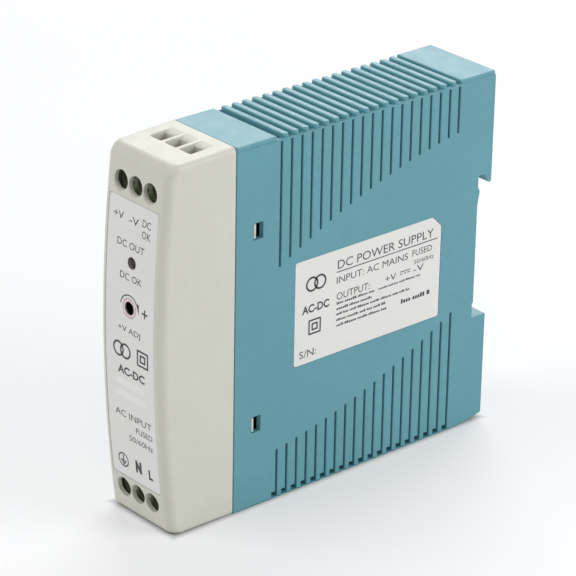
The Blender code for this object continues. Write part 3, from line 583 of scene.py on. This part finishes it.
def box_between(name, half, front, rear, low, high):
    """A box across the middle of the object, in millimetres from the front and from the base."""
    return block(name, (-half * MM, from_front(front), low * MM), (half * MM, from_front(rear), high * MM))


def housing_hollows():
    """What is cut out of the housing: its inside, the hollow behind the hook and the latch's way."""
    cavity_rear = from_front(SLOT_WALL) - WALL
    return [
        block("cavity", (-INNER_HALF, SEAM_Y - 2 * MM, WALL), (INNER_HALF, cavity_rear, ROOF_LOW_Z)),
        block(
            "hook_hollow",
            (-INNER_HALF, cavity_rear - 1 * MM, HOOK * MM + WALL),
            (INNER_HALF, REAR_Y - WALL, ROOF_LOW_Z - 0.01 * MM),
        ),
        box_between("guide", GUIDE_HALF, GUIDE_FRONT, GUIDE_REAR, GUIDE_LOW, LEDGE + 1),
        box_between("channel", CHANNEL_HALF, CHANNEL_FRONT, 101, -1, LEDGE + 2),
    ]


def make_housing():
    windows = [
        rectangle(
            from_front(WINDOW[0]), (z - WINDOW_HALF) * MM, from_front(WINDOW[1]), (z + WINDOW_HALF) * MM,
            0.25 * MM,
        )
        for z in WINDOW_ZS
    ]
    outlines = [side_outline()] + vents() + windows
    housing = slab("housing_shell", outlines, -HALF_WIDTH, HALF_WIDTH, edge=HOUSING_EDGE)
    combine(housing, "DIFFERENCE", *housing_hollows())
    grooves = join("grooves", [groove(vent_y(index) + GROOVE_SHIFT) for index in range(VENT_COUNT)])
    recess = slab("recess", [label_outline(LABEL_GAP)], LABEL_FACE - LABEL_THICK, HALF_WIDTH + 1 * MM)
    combine(housing, "DIFFERENCE", grooves, recess)
    combine(housing, "UNION", roof(), box_between("lug", LUG_HALF, LUG_FRONT, LUG_REAR, LUG_LOW, LUG_HIGH))
    smooth(housing)
    dress(housing, "housing_plastic")
    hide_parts("rear_housing")


# Latch spring

SPRING_WIRE = 0.2 * MM
SPRING_TURNS, STEPS_A_TURN = 7, 24


def make_spring():
    """The coil spring above the lug, which the latch comes down on. It is drawn at one length, though the
    spring shortens as the latch comes down.
    """
    low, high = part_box("latch_spring")
    middle, radius = (low + high) / 2, (high.x - low.x) / 2 - SPRING_WIRE
    curve = bpy.data.curves.new("latch_coil", "CURVE")
    curve.dimensions = "3D"
    curve.bevel_depth = SPRING_WIRE
    curve.bevel_resolution = 3
    curve.use_fill_caps = True
    spline = curve.splines.new("POLY")
    count = SPRING_TURNS * STEPS_A_TURN
    spline.points.add(count)
    rise = (high.z - low.z - 2 * SPRING_WIRE) / count
    for index, point in enumerate(spline.points):
        angle = 2 * math.pi * index / STEPS_A_TURN
        x, y = middle.x + radius * math.cos(angle), middle.y + radius * math.sin(angle)
        point.co = (x, y, low.z + SPRING_WIRE + rise * index, 1)
    coil = new_object("latch_coil", tidy_mesh(mesh_of(curve)))
    smooth(coil)
    dress(coil, "spring_steel")
    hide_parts("latch_spring")
    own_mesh(coil)


# Front cover

# The bow: how far it stands out over its reach, and the height of its foremost point
BOW = 3.0 * MM
BOW_Z = 47.0 * MM
BOW_REACH = 45.0 * MM
BOW_RADIUS = (BOW_REACH**2 + BOW**2) / (2 * BOW)

# The form: its wall, how much each side draws in towards the front, and the radii of its edges
COVER_REAR = SEAM_Y - JOINT_GAP
COVER_WALL = 1.6 * MM
COVER_TAPER = 0.4 * MM
CORNER_RADIUS = 2.4 * MM
FRONT_EDGE = 2.0 * MM
FOOT_EDGE = 0.9 * MM
SIDE_EDGE = 1.3 * MM
TOP_RADIUS = 3.2 * MM
TOP_FALL = 0.5 * MM
TOP_CORNER_Z = HEIGHT - TOP_FALL - TOP_RADIUS

# The holes: their places, radii and rims. The film hides how large the lamp's and trimmer's holes are
POLES = (-5.08 * MM, 0.0, 5.08 * MM)
SCREW_ZS = (82.75 * MM, 6.75 * MM)
SCREW_HOLE, SCREW_RIM = 2.3 * MM, 0.25 * MM
LED_HOLE, TRIMMER_HOLE, FILM_HOLE_RIM = 2.0 * MM, 2.3 * MM, 0.08 * MM
RECESS_GAP, RECESS_DEPTH = 0.14 * MM, 0.25 * MM

# Where the wall is thinner: round the trimmer's hole, and in bands behind the screw holes
THIN_RADIUS, THIN_FRONT, THIN_REAR = 3.1 * MM, 0.8, 8.8
BAND_HALF_WIDTH, BAND_HALF_HEIGHT, BAND_WALL, BAND_REAR = 8.0 * MM, 2.9 * MM, 1.1 * MM, 8.0

# The collar round the upper wire entries
COLLAR_HALF, COLLAR_WALL, COLLAR_LOW = 7.9 * MM, 0.8, 88.0 * MM


def bow_y(z, inset=0.0):
    """The Y of the bowed front at a height, or of the surface that lies behind it by the inset."""
    return FRONT_Y + BOW_RADIUS - math.sqrt((BOW_RADIUS - inset) ** 2 - (z - BOW_Z) ** 2)


def bow_points(low, high, inset, steps=48):
    """Points up the bowed front, or up the surface behind it, as (y, z)."""
    heights = [low + (high - low) * i / steps for i in range(steps + 1)]
    return [(bow_y(z, inset), z) for z in heights]


TOP_CORNER_Y = bow_y(TOP_CORNER_Z, TOP_RADIUS)


def cover_outline(inset, low):
    """The side view of the cover, or of its cavity at an inset, from low up the bow and over the top."""
    start = 180 - math.degrees(math.asin((TOP_CORNER_Z - BOW_Z) / (BOW_RADIUS - TOP_RADIUS)))
    corner = arc((TOP_CORNER_Y, TOP_CORNER_Z), TOP_RADIUS - inset, start, 90, 14)
    return bow_points(low, corner[0][1], inset) + corner[1:]


def cover_top(y):
    """The height of the cover's top, which falls a little towards the front."""
    return HEIGHT - TOP_FALL * (COVER_REAR - y) / (COVER_REAR - TOP_CORNER_Y)


def eased(radius, reach):
    """How far an edge of that radius has drawn in, when it has turned for that distance."""
    return radius - math.sqrt(max(0.0, radius**2 - max(0.0, reach) ** 2))


def cover_levels():
    """The height, the Y of the front and the inset of the sides at each level of the cover."""
    levels = []
    steps = 8
    for step in range(steps + 1):
        z = FRONT_EDGE * (1 - math.cos(math.pi / 2 * step / steps))
        front = bow_y(z) + eased(FRONT_EDGE, FRONT_EDGE - z)
        levels.append((z, front, eased(FOOT_EDGE, FOOT_EDGE - z)))
    for y, z in cover_outline(0, FRONT_EDGE)[1:]:
        levels.append((z, y, eased(SIDE_EDGE, z - (HEIGHT - TOP_FALL - SIDE_EDGE))))
    return levels


def cover_shell():
    """The outer form: bowed in front, narrower there, and rounded where its faces meet."""
    rings = []
    for z, front, inset in cover_levels():
        half, radius = HALF_WIDTH - inset, CORNER_RADIUS - inset
        left = arc((radius - half, front + radius), radius, 180, 270, 10)
        right = arc((half - radius, front + radius), radius, 270, 360, 10)
        ring = []
        for x, y in [(-half, COVER_REAR), *left, *right, (half, COVER_REAR)]:
            taper = 1 - COVER_TAPER / HALF_WIDTH * (COVER_REAR - y) / (COVER_REAR - FRONT_Y)
            rise = (cover_top(y) - cover_top(TOP_CORNER_Y)) * z / HEIGHT
            ring.append((x * taper, y, z + rise))
        rings.append(ring)
    return loft("cover_shell", rings)


def lipped_hole(name, x, z, radius, rim, inset=0.0, depth=12 * MM):
    """A cutter for a round hole in the bowed front, flared at the surface so that its rim is rounded."""
    profile = [(radius, depth)]
    for angle in (math.radians(10 * i) for i in range(9)):
        profile.append((radius + rim * (1 - math.cos(angle)), rim * (1 - math.sin(angle))))
    profile.append((radius + rim * 1.02, -1 * MM))
    y = bow_y(z, inset)
    rings = [[(x + u, y + back, z + v) for u, v in circle(0, 0, size)] for size, back in profile]
    return loft(name, rings)


# The wire entries, and the foot of the ramp at the rear of each, in millimetres from the front
ENTRY_HALF = 1.95 * MM
ENTRY_FRONT, ENTRY_REAR, RAMP_FOOT = 11.5, 18.5, 15.9


def wire_entry(x, top):
    """A cutter for a wire entry, with eased edges and a ramp at its rear that leads the wire in. Each level
    has how far it is grown, where its rear is and how deep it lies, in millimetres."""
    levels = [
        (0.3, ENTRY_REAR - 0.4, -0.6), (0.3, ENTRY_REAR - 0.4, -0.02), (0.14, ENTRY_REAR - 0.6, 0.05),
        (0.03, ENTRY_REAR - 1.0, 0.14), (0.0, RAMP_FOOT + 0.9, 0.28), (0.0, RAMP_FOOT + 0.2, 0.48),
        (0.0, RAMP_FOOT, 0.75), (0.0, RAMP_FOOT, 3.0),
    ]
    rings = []
    for grow, rear, depth in levels:
        half = ENTRY_HALF + grow * MM
        front, back = from_front(ENTRY_FRONT - grow), from_front(rear + grow)
        outline = rectangle(x - half, front, x + half, back, 0.4 * MM)
        rings.append([(u, v, cover_top(v) - depth * MM if top else depth * MM) for u, v in outline])
    return loft("wire_entry", rings)


def led_place():
    """The middle of the lamp's lens. Its legs reach to the board on one side, so its other side is used."""
    lens_radius = 1.9 * MM
    return Vector((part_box("indicator_led")[1].x - lens_radius, 0, middle_of("indicator_led").z))


def cover_hollow():
    inside = cover_outline(COVER_WALL, WALL)
    inside += [(SEAM_Y + 1 * MM, inside[-1][1]), (SEAM_Y + 1 * MM, WALL)]
    return slab("hollow", [inside], -INNER_HALF, INNER_HALF)


def label_recess():
    """The shallow recess that the front label lies in, a little larger than the label."""
    low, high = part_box("front_label")
    foot, top, out = low.z - RECESS_GAP, high.z + RECESS_GAP, FRONT_Y - 1 * MM
    outline = bow_points(foot, top, RECESS_DEPTH) + [(out, top), (out, foot)]
    recess = slab("recess_sheet", [outline], low.x - RECESS_GAP, high.x + RECESS_GAP)
    face = slab("recess_outline", [front_label_outline(RECESS_GAP)], FRONT_Y - 2 * MM, 0, axis="Y")
    combine(recess, "INTERSECT", face)
    return recess


def front_holes():
    """Cutters for the six screw holes, the lamp's hole and the trimmer's."""
    holes = [lipped_hole("screw_hole", x, z, SCREW_HOLE, SCREW_RIM) for x in POLES for z in SCREW_ZS]
    trimmer = middle_of("trimmer_rotor")
    small = (("led_hole", led_place(), LED_HOLE), ("trimmer_hole", trimmer, TRIMMER_HOLE))
    for name, place, radius in small:
        holes.append(lipped_hole(name, place.x, place.z, radius, FILM_HOLE_RIM, 0.35 * MM))
    return join("holes", holes)


def thinnings():
    """Cutters that leave the wall thinner from the inside, so that what is behind the holes shows."""
    trimmer = middle_of("trimmer_rotor")
    ring = circle(trimmer.x, trimmer.z, THIN_RADIUS)
    made = [slab("thinned", [ring], from_front(THIN_FRONT), from_front(THIN_REAR), axis="Y")]
    rear = from_front(BAND_REAR)
    for z in SCREW_ZS:
        low, high = z - BAND_HALF_HEIGHT, z + BAND_HALF_HEIGHT
        outline = bow_points(low, high, BAND_WALL, 8) + [(rear, high), (rear, low)]
        made.append(slab("thinned", [outline], -BAND_HALF_WIDTH, BAND_HALF_WIDTH))
    return join("thinned", made)


def snap_tongues():
    """The tongues that reach into the housing, and the short hooks on them that catch in its windows."""
    outer, inner = INNER_HALF - JOINT_GAP, INNER_HALF - JOINT_GAP - 1 * MM
    root, root_end, wall_face = SEAM_Y - 5 * MM, SEAM_Y - JOINT_GAP, 10.2 * MM
    rear = from_front(WINDOW[0] + 1.6)
    tongue = [
        (root, inner), (rear, inner), (rear, outer), (root_end, outer), (root_end, wall_face),
        (root, wall_face),
    ]
    catch = from_front(WINDOW[0]) + JOINT_GAP
    hook_rear, hook_root, hook_face = catch + 0.6 * MM, inner + 0.5 * MM, 10.9 * MM
    chamfer = 0.1 * MM
    hook = [
        (catch, hook_root), (hook_rear, hook_root), (hook_rear, hook_face - chamfer),
        (hook_rear - chamfer, hook_face), (catch, hook_face),
    ]
    made = []
    for name, outline, half in (("tongue", tongue, 3.2), ("hook", hook, 1.7)):
        made.append(join(name + "s", [
            slab(name, [[(side * x, y) for y, x in outline]], (z - half) * MM, (z + half) * MM, axis="Z")
            for z in WINDOW_ZS for side in (1, -1)
        ]))
    return made


def make_cover():
    cover = cover_shell()
    combine(cover, "DIFFERENCE", cover_hollow(), label_recess())
    collar = block(
        "wire_collar",
        (-COLLAR_HALF, from_front(ENTRY_FRONT - COLLAR_WALL), COLLAR_LOW),
        (COLLAR_HALF, from_front(ENTRY_REAR + COLLAR_WALL), HEIGHT - WALL),
    )
    combine(cover, "UNION", collar)
    combine(cover, "DIFFERENCE", thinnings())
    entries = [wire_entry(x, top) for x in POLES for top in (True, False)]
    combine(cover, "DIFFERENCE", front_holes(), join("entries", entries))
    combine(cover, "UNION", *snap_tongues())
    smooth(cover, 38)
    dress(cover, "cover_plastic")
    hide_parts("front_cover")


# Labels

FILM_INSET = 0.08 * MM
FILM_BACK = 0.2 * MM
LED_WINDOW, TRIMMER_WINDOW = 1.42 * MM, 1.58 * MM
PRINT_LIFT = 0.004 * MM
CAPITAL = 0.729  # the height of a capital letter in Blender's own font, at size 1


def front_label_outline(grow=0.0):
    """The front label's outline, with its cut corners, grown by a gap."""
    low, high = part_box("front_label")
    left, right, foot, top = low.x - grow, high.x + grow, low.z - grow, high.z + grow
    cut = 0.45 * MM
    points = [
        (left + cut, foot), (right - cut, foot), (right, foot + cut), (right, top - cut),
        (right - cut, top), (left + cut, top), (left, top - cut), (left, foot + cut),
    ]
    return rounded(points, 0.3 * MM, 2)


def make_front_film():
    low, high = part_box("front_label")
    outline = bow_points(low.z, high.z, FILM_INSET) + bow_points(low.z, high.z, FILM_BACK)[::-1]
    film = slab("front_label_film", [outline], low.x, high.x)
    led, trimmer = led_place(), middle_of("trimmer_rotor")
    windows = [circle(led.x, led.z, LED_WINDOW), circle(trimmer.x, trimmer.z, TRIMMER_WINDOW)]
    shape = slab("film_shape", [front_label_outline()] + windows, FRONT_Y - 2 * MM, 0, axis="Y")
    combine(film, "INTERSECT", shape)
    smooth(film)
    dress(film, "label_film")
    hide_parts("front_label")


def make_side_film():
    back = LABEL_FACE - LABEL_THICK
    film = slab("side_label_film", [label_outline()], back, LABEL_FACE, edge=0.02 * MM, steps=1)
    smooth(film)
    dress(film, "label_film")
    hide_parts("side_label")


class Print:
    """Marks printed on a label: thin raised shapes, given flat in millimetres and then laid on it."""

    THICK = 0.02 * MM

    def __init__(self):
        self.bm = bmesh.new()

    def raised(self, curve):
        curve.extrude = self.THICK / 2
        return tidy_mesh(mesh_of(curve))

    def keep(self, mesh):
        self.bm.from_mesh(mesh)
        bpy.data.meshes.remove(mesh)

    def text(self, words, left, right, foot, height, weight=0.0):
        """Lettering that fills the width from left to right, with capitals of that height."""
        curve = bpy.data.curves.new("mark", "FONT")
        curve.body = words
        curve.size = 1
        curve.resolution_u = 3
        curve.offset = weight
        mesh = self.raised(curve)
        across = [vert.co.x for vert in mesh.vertices]
        low, wide = min(across), max(across) - min(across)
        for vert in mesh.vertices:
            vert.co.x = (left + (vert.co.x - low) / wide * (right - left)) * MM
            vert.co.y = (foot + vert.co.y / CAPITAL * height) * MM
        self.keep(mesh)

    def shape(self, *outlines):
        """A filled shape with holes."""
        small = [[(u * MM, v * MM) for u, v in outline] for outline in outlines]
        self.keep(self.raised(filled_curve("mark", small)))

    def bar(self, low_u, low_v, high_u, high_v):
        self.shape(rectangle(low_u, low_v, high_u, high_v))

    def ring(self, u, v, outer, inner):
        self.shape(circle(u, v, outer, 40), circle(u, v, inner, 40))

    def frame(self, u, v, half, line):
        inner = half - line
        self.shape(
            rectangle(u - half, v - half, u + half, v + half, 0.2),
            rectangle(u - inner, v - inner, u + inner, v + inner, 0.1),
        )

    def small_print(self, left, right, foot, height, seed):
        """A row of small blocks in place of words. The seed varies their lengths."""
        u, count = left, seed
        while u < right - 0.3:
            count += 1
            letters = 3 + (count * 7) % 6
            for letter in range(letters):
                wide = 0.55 * height * (1 + 0.5 * ((count + letter * 3) % 3 == 0))
                tall = height * (1.0 if (count * 5 + letter * 4) % 7 in (0, 3) else 0.72)
                if u + wide > right:
                    break
                self.bar(u, foot, u + wide, foot + tall)
                u += wide + 0.17 * height
            u += 0.5 * height

    def finish(self, name, place, material):
        for vert in self.bm.verts:
            vert.co = place(vert.co)
        bmesh.ops.recalc_face_normals(self.bm, faces=self.bm.faces)
        mesh = bpy.data.meshes.new(name)
        self.bm.to_mesh(mesh)
        self.bm.free()
        dress(new_object(name, mesh), "label_film", material)


def on_front(point):
    """Lays a flat mark on the bowed label. Its thickness stands out of the film."""
    return Vector((point.x, bow_y(point.y, FILM_INSET) - point.z - PRINT_LIFT, point.y))


def on_side(point):
    """Lays a flat mark on the side label, from the label's front edge."""
    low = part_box("side_label")[0]
    return Vector((LABEL_FACE + point.z + PRINT_LIFT, low.y + point.x, point.y))


def transformer_mark(marks, left, right, foot, line):
    """Two linked rings, the plain sign for a transformer."""
    radius = (right - left) / 3.3
    v = foot + radius
    for u in (left + radius, right - radius):
        marks.ring(u, v, radius, radius - line)


def double_square_mark(marks, u, v, half, line):
    """A square in a square, the plain sign for double insulation."""
    marks.frame(u, v, half, line)
    marks.frame(u, v, half * 0.5, line)


# Each entry has the words, their left, right and foot, the capitals' height, and the extra weight, in
# millimetres across from the middle of the front label and up from the base
FRONT_WORDS = (
    ("+V", -6.7, -3.3, 74.0, 1.8),
    ("-V", -1.2, 2.0, 74.0, 1.8),
    ("DC", 3.3, 6.2, 74.5, 1.8),
    ("OK", 3.3, 6.3, 71.9, 1.8),
    ("DC OUT", -5.0, 4.4, 68.0, 1.75),
    ("DC OK", -3.6, 4.0, 60.5, 1.7),
    ("+V ADJ", -4.0, 3.8, 47.9, 1.4),
    ("AC-DC", -4.3, 5.2, 37.2, 2.0, 0.03),
    ("AC INPUT", -5.9, 7.0, 26.1, 1.7),
    ("FUSED", 1.3, 7.1, 23.4, 1.5),
    ("50/60Hz", -1.4, 7.1, 20.6, 1.5),
    ("N", 0.1, 2.3, 13.2, 2.7, 0.09),
    ("L", 4.8, 6.2, 13.0, 2.4, 0.05),
)

# The same on the side label, across from its front edge
SIDE_WORDS = (
    ("DC POWER SUPPLY", 12.8, 42.8, 53.0, 2.25),
    ("INPUT: AC MAINS", 12.6, 34.8, 49.4, 1.75),
    ("FUSED", 36.2, 42.4, 49.6, 1.7),
    ("50/60Hz", 36.8, 43.1, 47.5, 1.15),
    ("OUTPUT:", 12.7, 22.9, 45.2, 1.9),
    ("+V", 27.8, 31.2, 45.4, 1.7),
    ("-V", 36.7, 40.0, 45.4, 1.7),
    ("AC-DC", 2.2, 10.4, 44.5, 2.0, 0.03),
    ("S/N:", 1.6, 6.7, 33.5, 1.9),
)

# Rows of small blocks on the side label: left, right, foot, height and seed
SMALL_PRINT = (
    (12.7, 24.4, 44.1, 0.62, 1),
    (25.7, 39.2, 44.1, 0.5, 4),
    (12.7, 23.8, 42.7, 0.62, 2),
    (12.7, 35.6, 41.4, 0.6, 5),
    (12.7, 28.5, 39.9, 0.62, 3),
    (12.8, 29.0, 38.5, 0.62, 7),
    (33.0, 43.2, 38.5, 1.1, 6),
)


def make_front_print():
    marks = Print()
    for words in FRONT_WORDS:
        marks.text(*words)
    transformer_mark(marks, -5.9, 0.4, 41.1, 0.5)
    double_square_mark(marks, 4.6, 43.1, 2.0, 0.45)
    earth_mark(marks, -4.3, 14.3)
    adjuster_mark(marks, -0.1, 54.0)
    marks.finish("front_label_print", on_front, INK)


def earth_mark(marks, u, v):
    """The sign for protective earth, in its ring."""
    marks.ring(u, v, 1.85, 1.52)
    marks.bar(u - 0.18, v - 0.2, u + 0.18, v + 1.3)
    for half, drop in ((1.05, -0.25), (0.7, -0.72), (0.35, -1.19)):
        marks.bar(u - half, v + drop - 0.16, u + half, v + drop + 0.16)


def adjuster_mark(marks, u, v):
    """An arrow round the adjuster, and the plus sign that it points to."""
    outer, inner = 3.25, 2.95
    marks.shape(arc((u, v), outer, 172, 32, 24) + arc((u, v), inner, 32, 172, 24))
    head = [(2.4, 1.95), (3.3, 1.95), (3.4, -0.55)]
    marks.shape([(u + a, v + b) for a, b in head])
    marks.bar(u + 4.4, v + 0.2, u + 6.4, v + 0.62)
    marks.bar(u + 5.19, v - 0.6, u + 5.61, v + 1.4)


def direct_current_mark(marks, u, v):
    """A line above three dashes, the sign for direct current."""
    line, dash = 0.22, 0.8
    marks.bar(u, v + 0.6, u + 3.2, v + 0.6 + line)
    for shift in (0.0, 1.2, 2.4):
        marks.bar(u + shift, v, u + shift + dash, v + line)


def make_side_print():
    marks = Print()
    for words in SIDE_WORDS:
        marks.text(*words)
    for row in SMALL_PRINT:
        marks.small_print(*row)
    marks.bar(12.5, 52.15, 44.1, 52.4)
    direct_current_mark(marks, 32.4, 46.0)
    transformer_mark(marks, 3.2, 9.4, 49.6, 0.5)
    double_square_mark(marks, 6.1, 40.7, 1.9, 0.42)
    marks.finish("side_label_print", on_side, INK)


def make_label_extras():
    """The blank write-on patch, and the pale rings printed round the two small holes."""
    patch = Print()
    patch.shape(rectangle(-5.0, 31.2, 5.0, 35.7, 0.2))
    sunk = Vector((0, 0.009 * MM, 0))
    patch.finish("front_label_patch", lambda point: on_front(point) + sunk, PATCH)
    led, trimmer = led_place() / MM, middle_of("trimmer_rotor") / MM
    halo = Print()
    halo.ring(trimmer.x, trimmer.z, 2.15, 1.62)
    halo.ring(led.x, led.z, 1.62, 1.45)
    halo.finish("front_label_halo", on_front, PALE_PINK)
    rings = Print()
    rings.ring(trimmer.x, trimmer.z, 2.4, 2.17)
    rings.finish("front_label_rings", on_front, PINK)


# Nodes that keep their CAD shape


def dress_nodes():
    """Gives every CAD node the material of its slot."""
    slots = {part["node"]: part["material_slot"] for part in frame["record"]["subparts"]}
    for name, obj in frame["nodes"].items():
        material = MATERIALS[slots[name]]
        if obj.data.materials:
            obj.data.materials[0] = material
        else:
            obj.data.materials.append(material)


# Studio

CAMERA_PLACE = Vector((0.49615, -0.43996, 0.34680))
CAMERA_TARGET = Vector((-0.00128, -0.0023, 0.045))
CAMERA_ROLL = 1.08
LENS = 196.9

GLOW = 0.39
GLOW_START, GLOW_FULL = -0.6 * MM, 1.3 * MM  # from the footprint's edge. Over this span the glow rises from none to full, which paints a contact shadow round the base


def make_camera():
    """The camera at the photograph's angle, with the small roll that its level edges show."""
    data = bpy.data.cameras.new("camera")
    data.sensor_width = 36
    data.lens = LENS
    data.clip_start, data.clip_end = 0.01, 100
    camera = bpy.data.objects.new("camera", data)
    bpy.context.scene.collection.objects.link(camera)
    camera.location = CAMERA_PLACE
    roll = Quaternion((0, 0, 1), math.radians(CAMERA_ROLL))
    camera.rotation_mode = "QUATERNION"
    camera.rotation_quaternion = (CAMERA_TARGET - CAMERA_PLACE).to_track_quat("-Z", "Y") @ roll
    bpy.context.scene.camera = camera


def glow_with_painted_contact_shadow(surface):
    """The glow of the sheet, which fades out under the edge of the power supply: a painted contact shadow
    round its base.
    """
    split = surface.nodes.new("ShaderNodeSeparateXYZ")
    surface.links.new(surface.place, split.inputs[0])
    front = bow_y(0) + 0.4 * MM
    sides = (("X", 0.0, HALF_WIDTH), ("Y", (REAR_Y + front) / 2, (REAR_Y - front) / 2))
    beyond = []
    for axis, middle, half in sides:
        away = surface.compute("ABSOLUTE", surface.compute("SUBTRACT", split.outputs[axis], middle))
        beyond.append(surface.compute("SUBTRACT", away, half))
    return surface.remap(surface.compute("MAXIMUM", *beyond), GLOW_START, GLOW_FULL, 0.0, GLOW)


def make_floor():
    """A pale sheet that glows evenly, so that the shadows on it stay light. Round the power supply's base
    the glow fades out, which paints a dark contact shadow there.
    """
    bm = bmesh.new()
    bmesh.ops.create_grid(bm, x_segments=8, y_segments=8, size=6)
    mesh = bpy.data.meshes.new("floor")
    bm.to_mesh(mesh)
    bm.free()
    floor = new_object("floor", mesh)
    surface = Surface("floor_sheet", (0.448, 0.453, 0.462), 0.75).tone(3, 0.008).grain(300, 0.02 * MM)
    # The floor's glow, faded out round the base to paint a contact shadow
    surface.links.new(glow_with_painted_contact_shadow(surface), surface.shader.inputs["Emission Strength"])
    floor.data.materials.append(surface.polish(6, 0.04).done(Emission_Color=(1.0, 1.0, 1.0, 1.0)))


def area_light(name, place, size, power):
    """A white soft box that is turned towards the middle of the power supply."""
    data = bpy.data.lights.new(name, "AREA")
    data.shape = "RECTANGLE"
    data.size, data.size_y = size
    data.energy = power
    light = bpy.data.objects.new(name, data)
    bpy.context.scene.collection.objects.link(light)
    light.location = place
    light.rotation_mode = "QUATERNION"
    light.rotation_quaternion = (Vector((0, 0, 0.045)) - Vector(place)).to_track_quat("-Z", "Y")


def make_lights():
    world = bpy.data.worlds.new("studio")
    bpy.context.scene.world = world
    world.use_nodes = True
    background = world.node_tree.nodes["Background"]
    background.inputs["Color"].default_value = (1.0, 1.0, 1.0, 1)
    background.inputs["Strength"].default_value = 0.36
    area_light("softbox_rear", (-1.3, 1.6, 1.3), (2.0, 1.5), 37)
    area_light("softbox_right", (0.62, 0.42, 0.45), (0.5, 0.5), 4.0)
    area_light("softbox_left", (-0.6, -1.1, 1.1), (1.1, 0.9), 10.5)
    area_light("softbox_front", (1.0, -0.9, 0.9), (0.9, 0.9), 2.0)
    area_light("softbox_top", (0.1, 0.0, 1.3), (1.2, 1.2), 1.5)
    bpy.context.scene.view_settings.view_transform = "Standard"


make_camera()
make_floor()
make_lights()
dress_nodes()
make_housing()
make_spring()
make_cover()
make_front_film()
make_side_film()
make_front_print()
make_side_print()
make_label_extras()
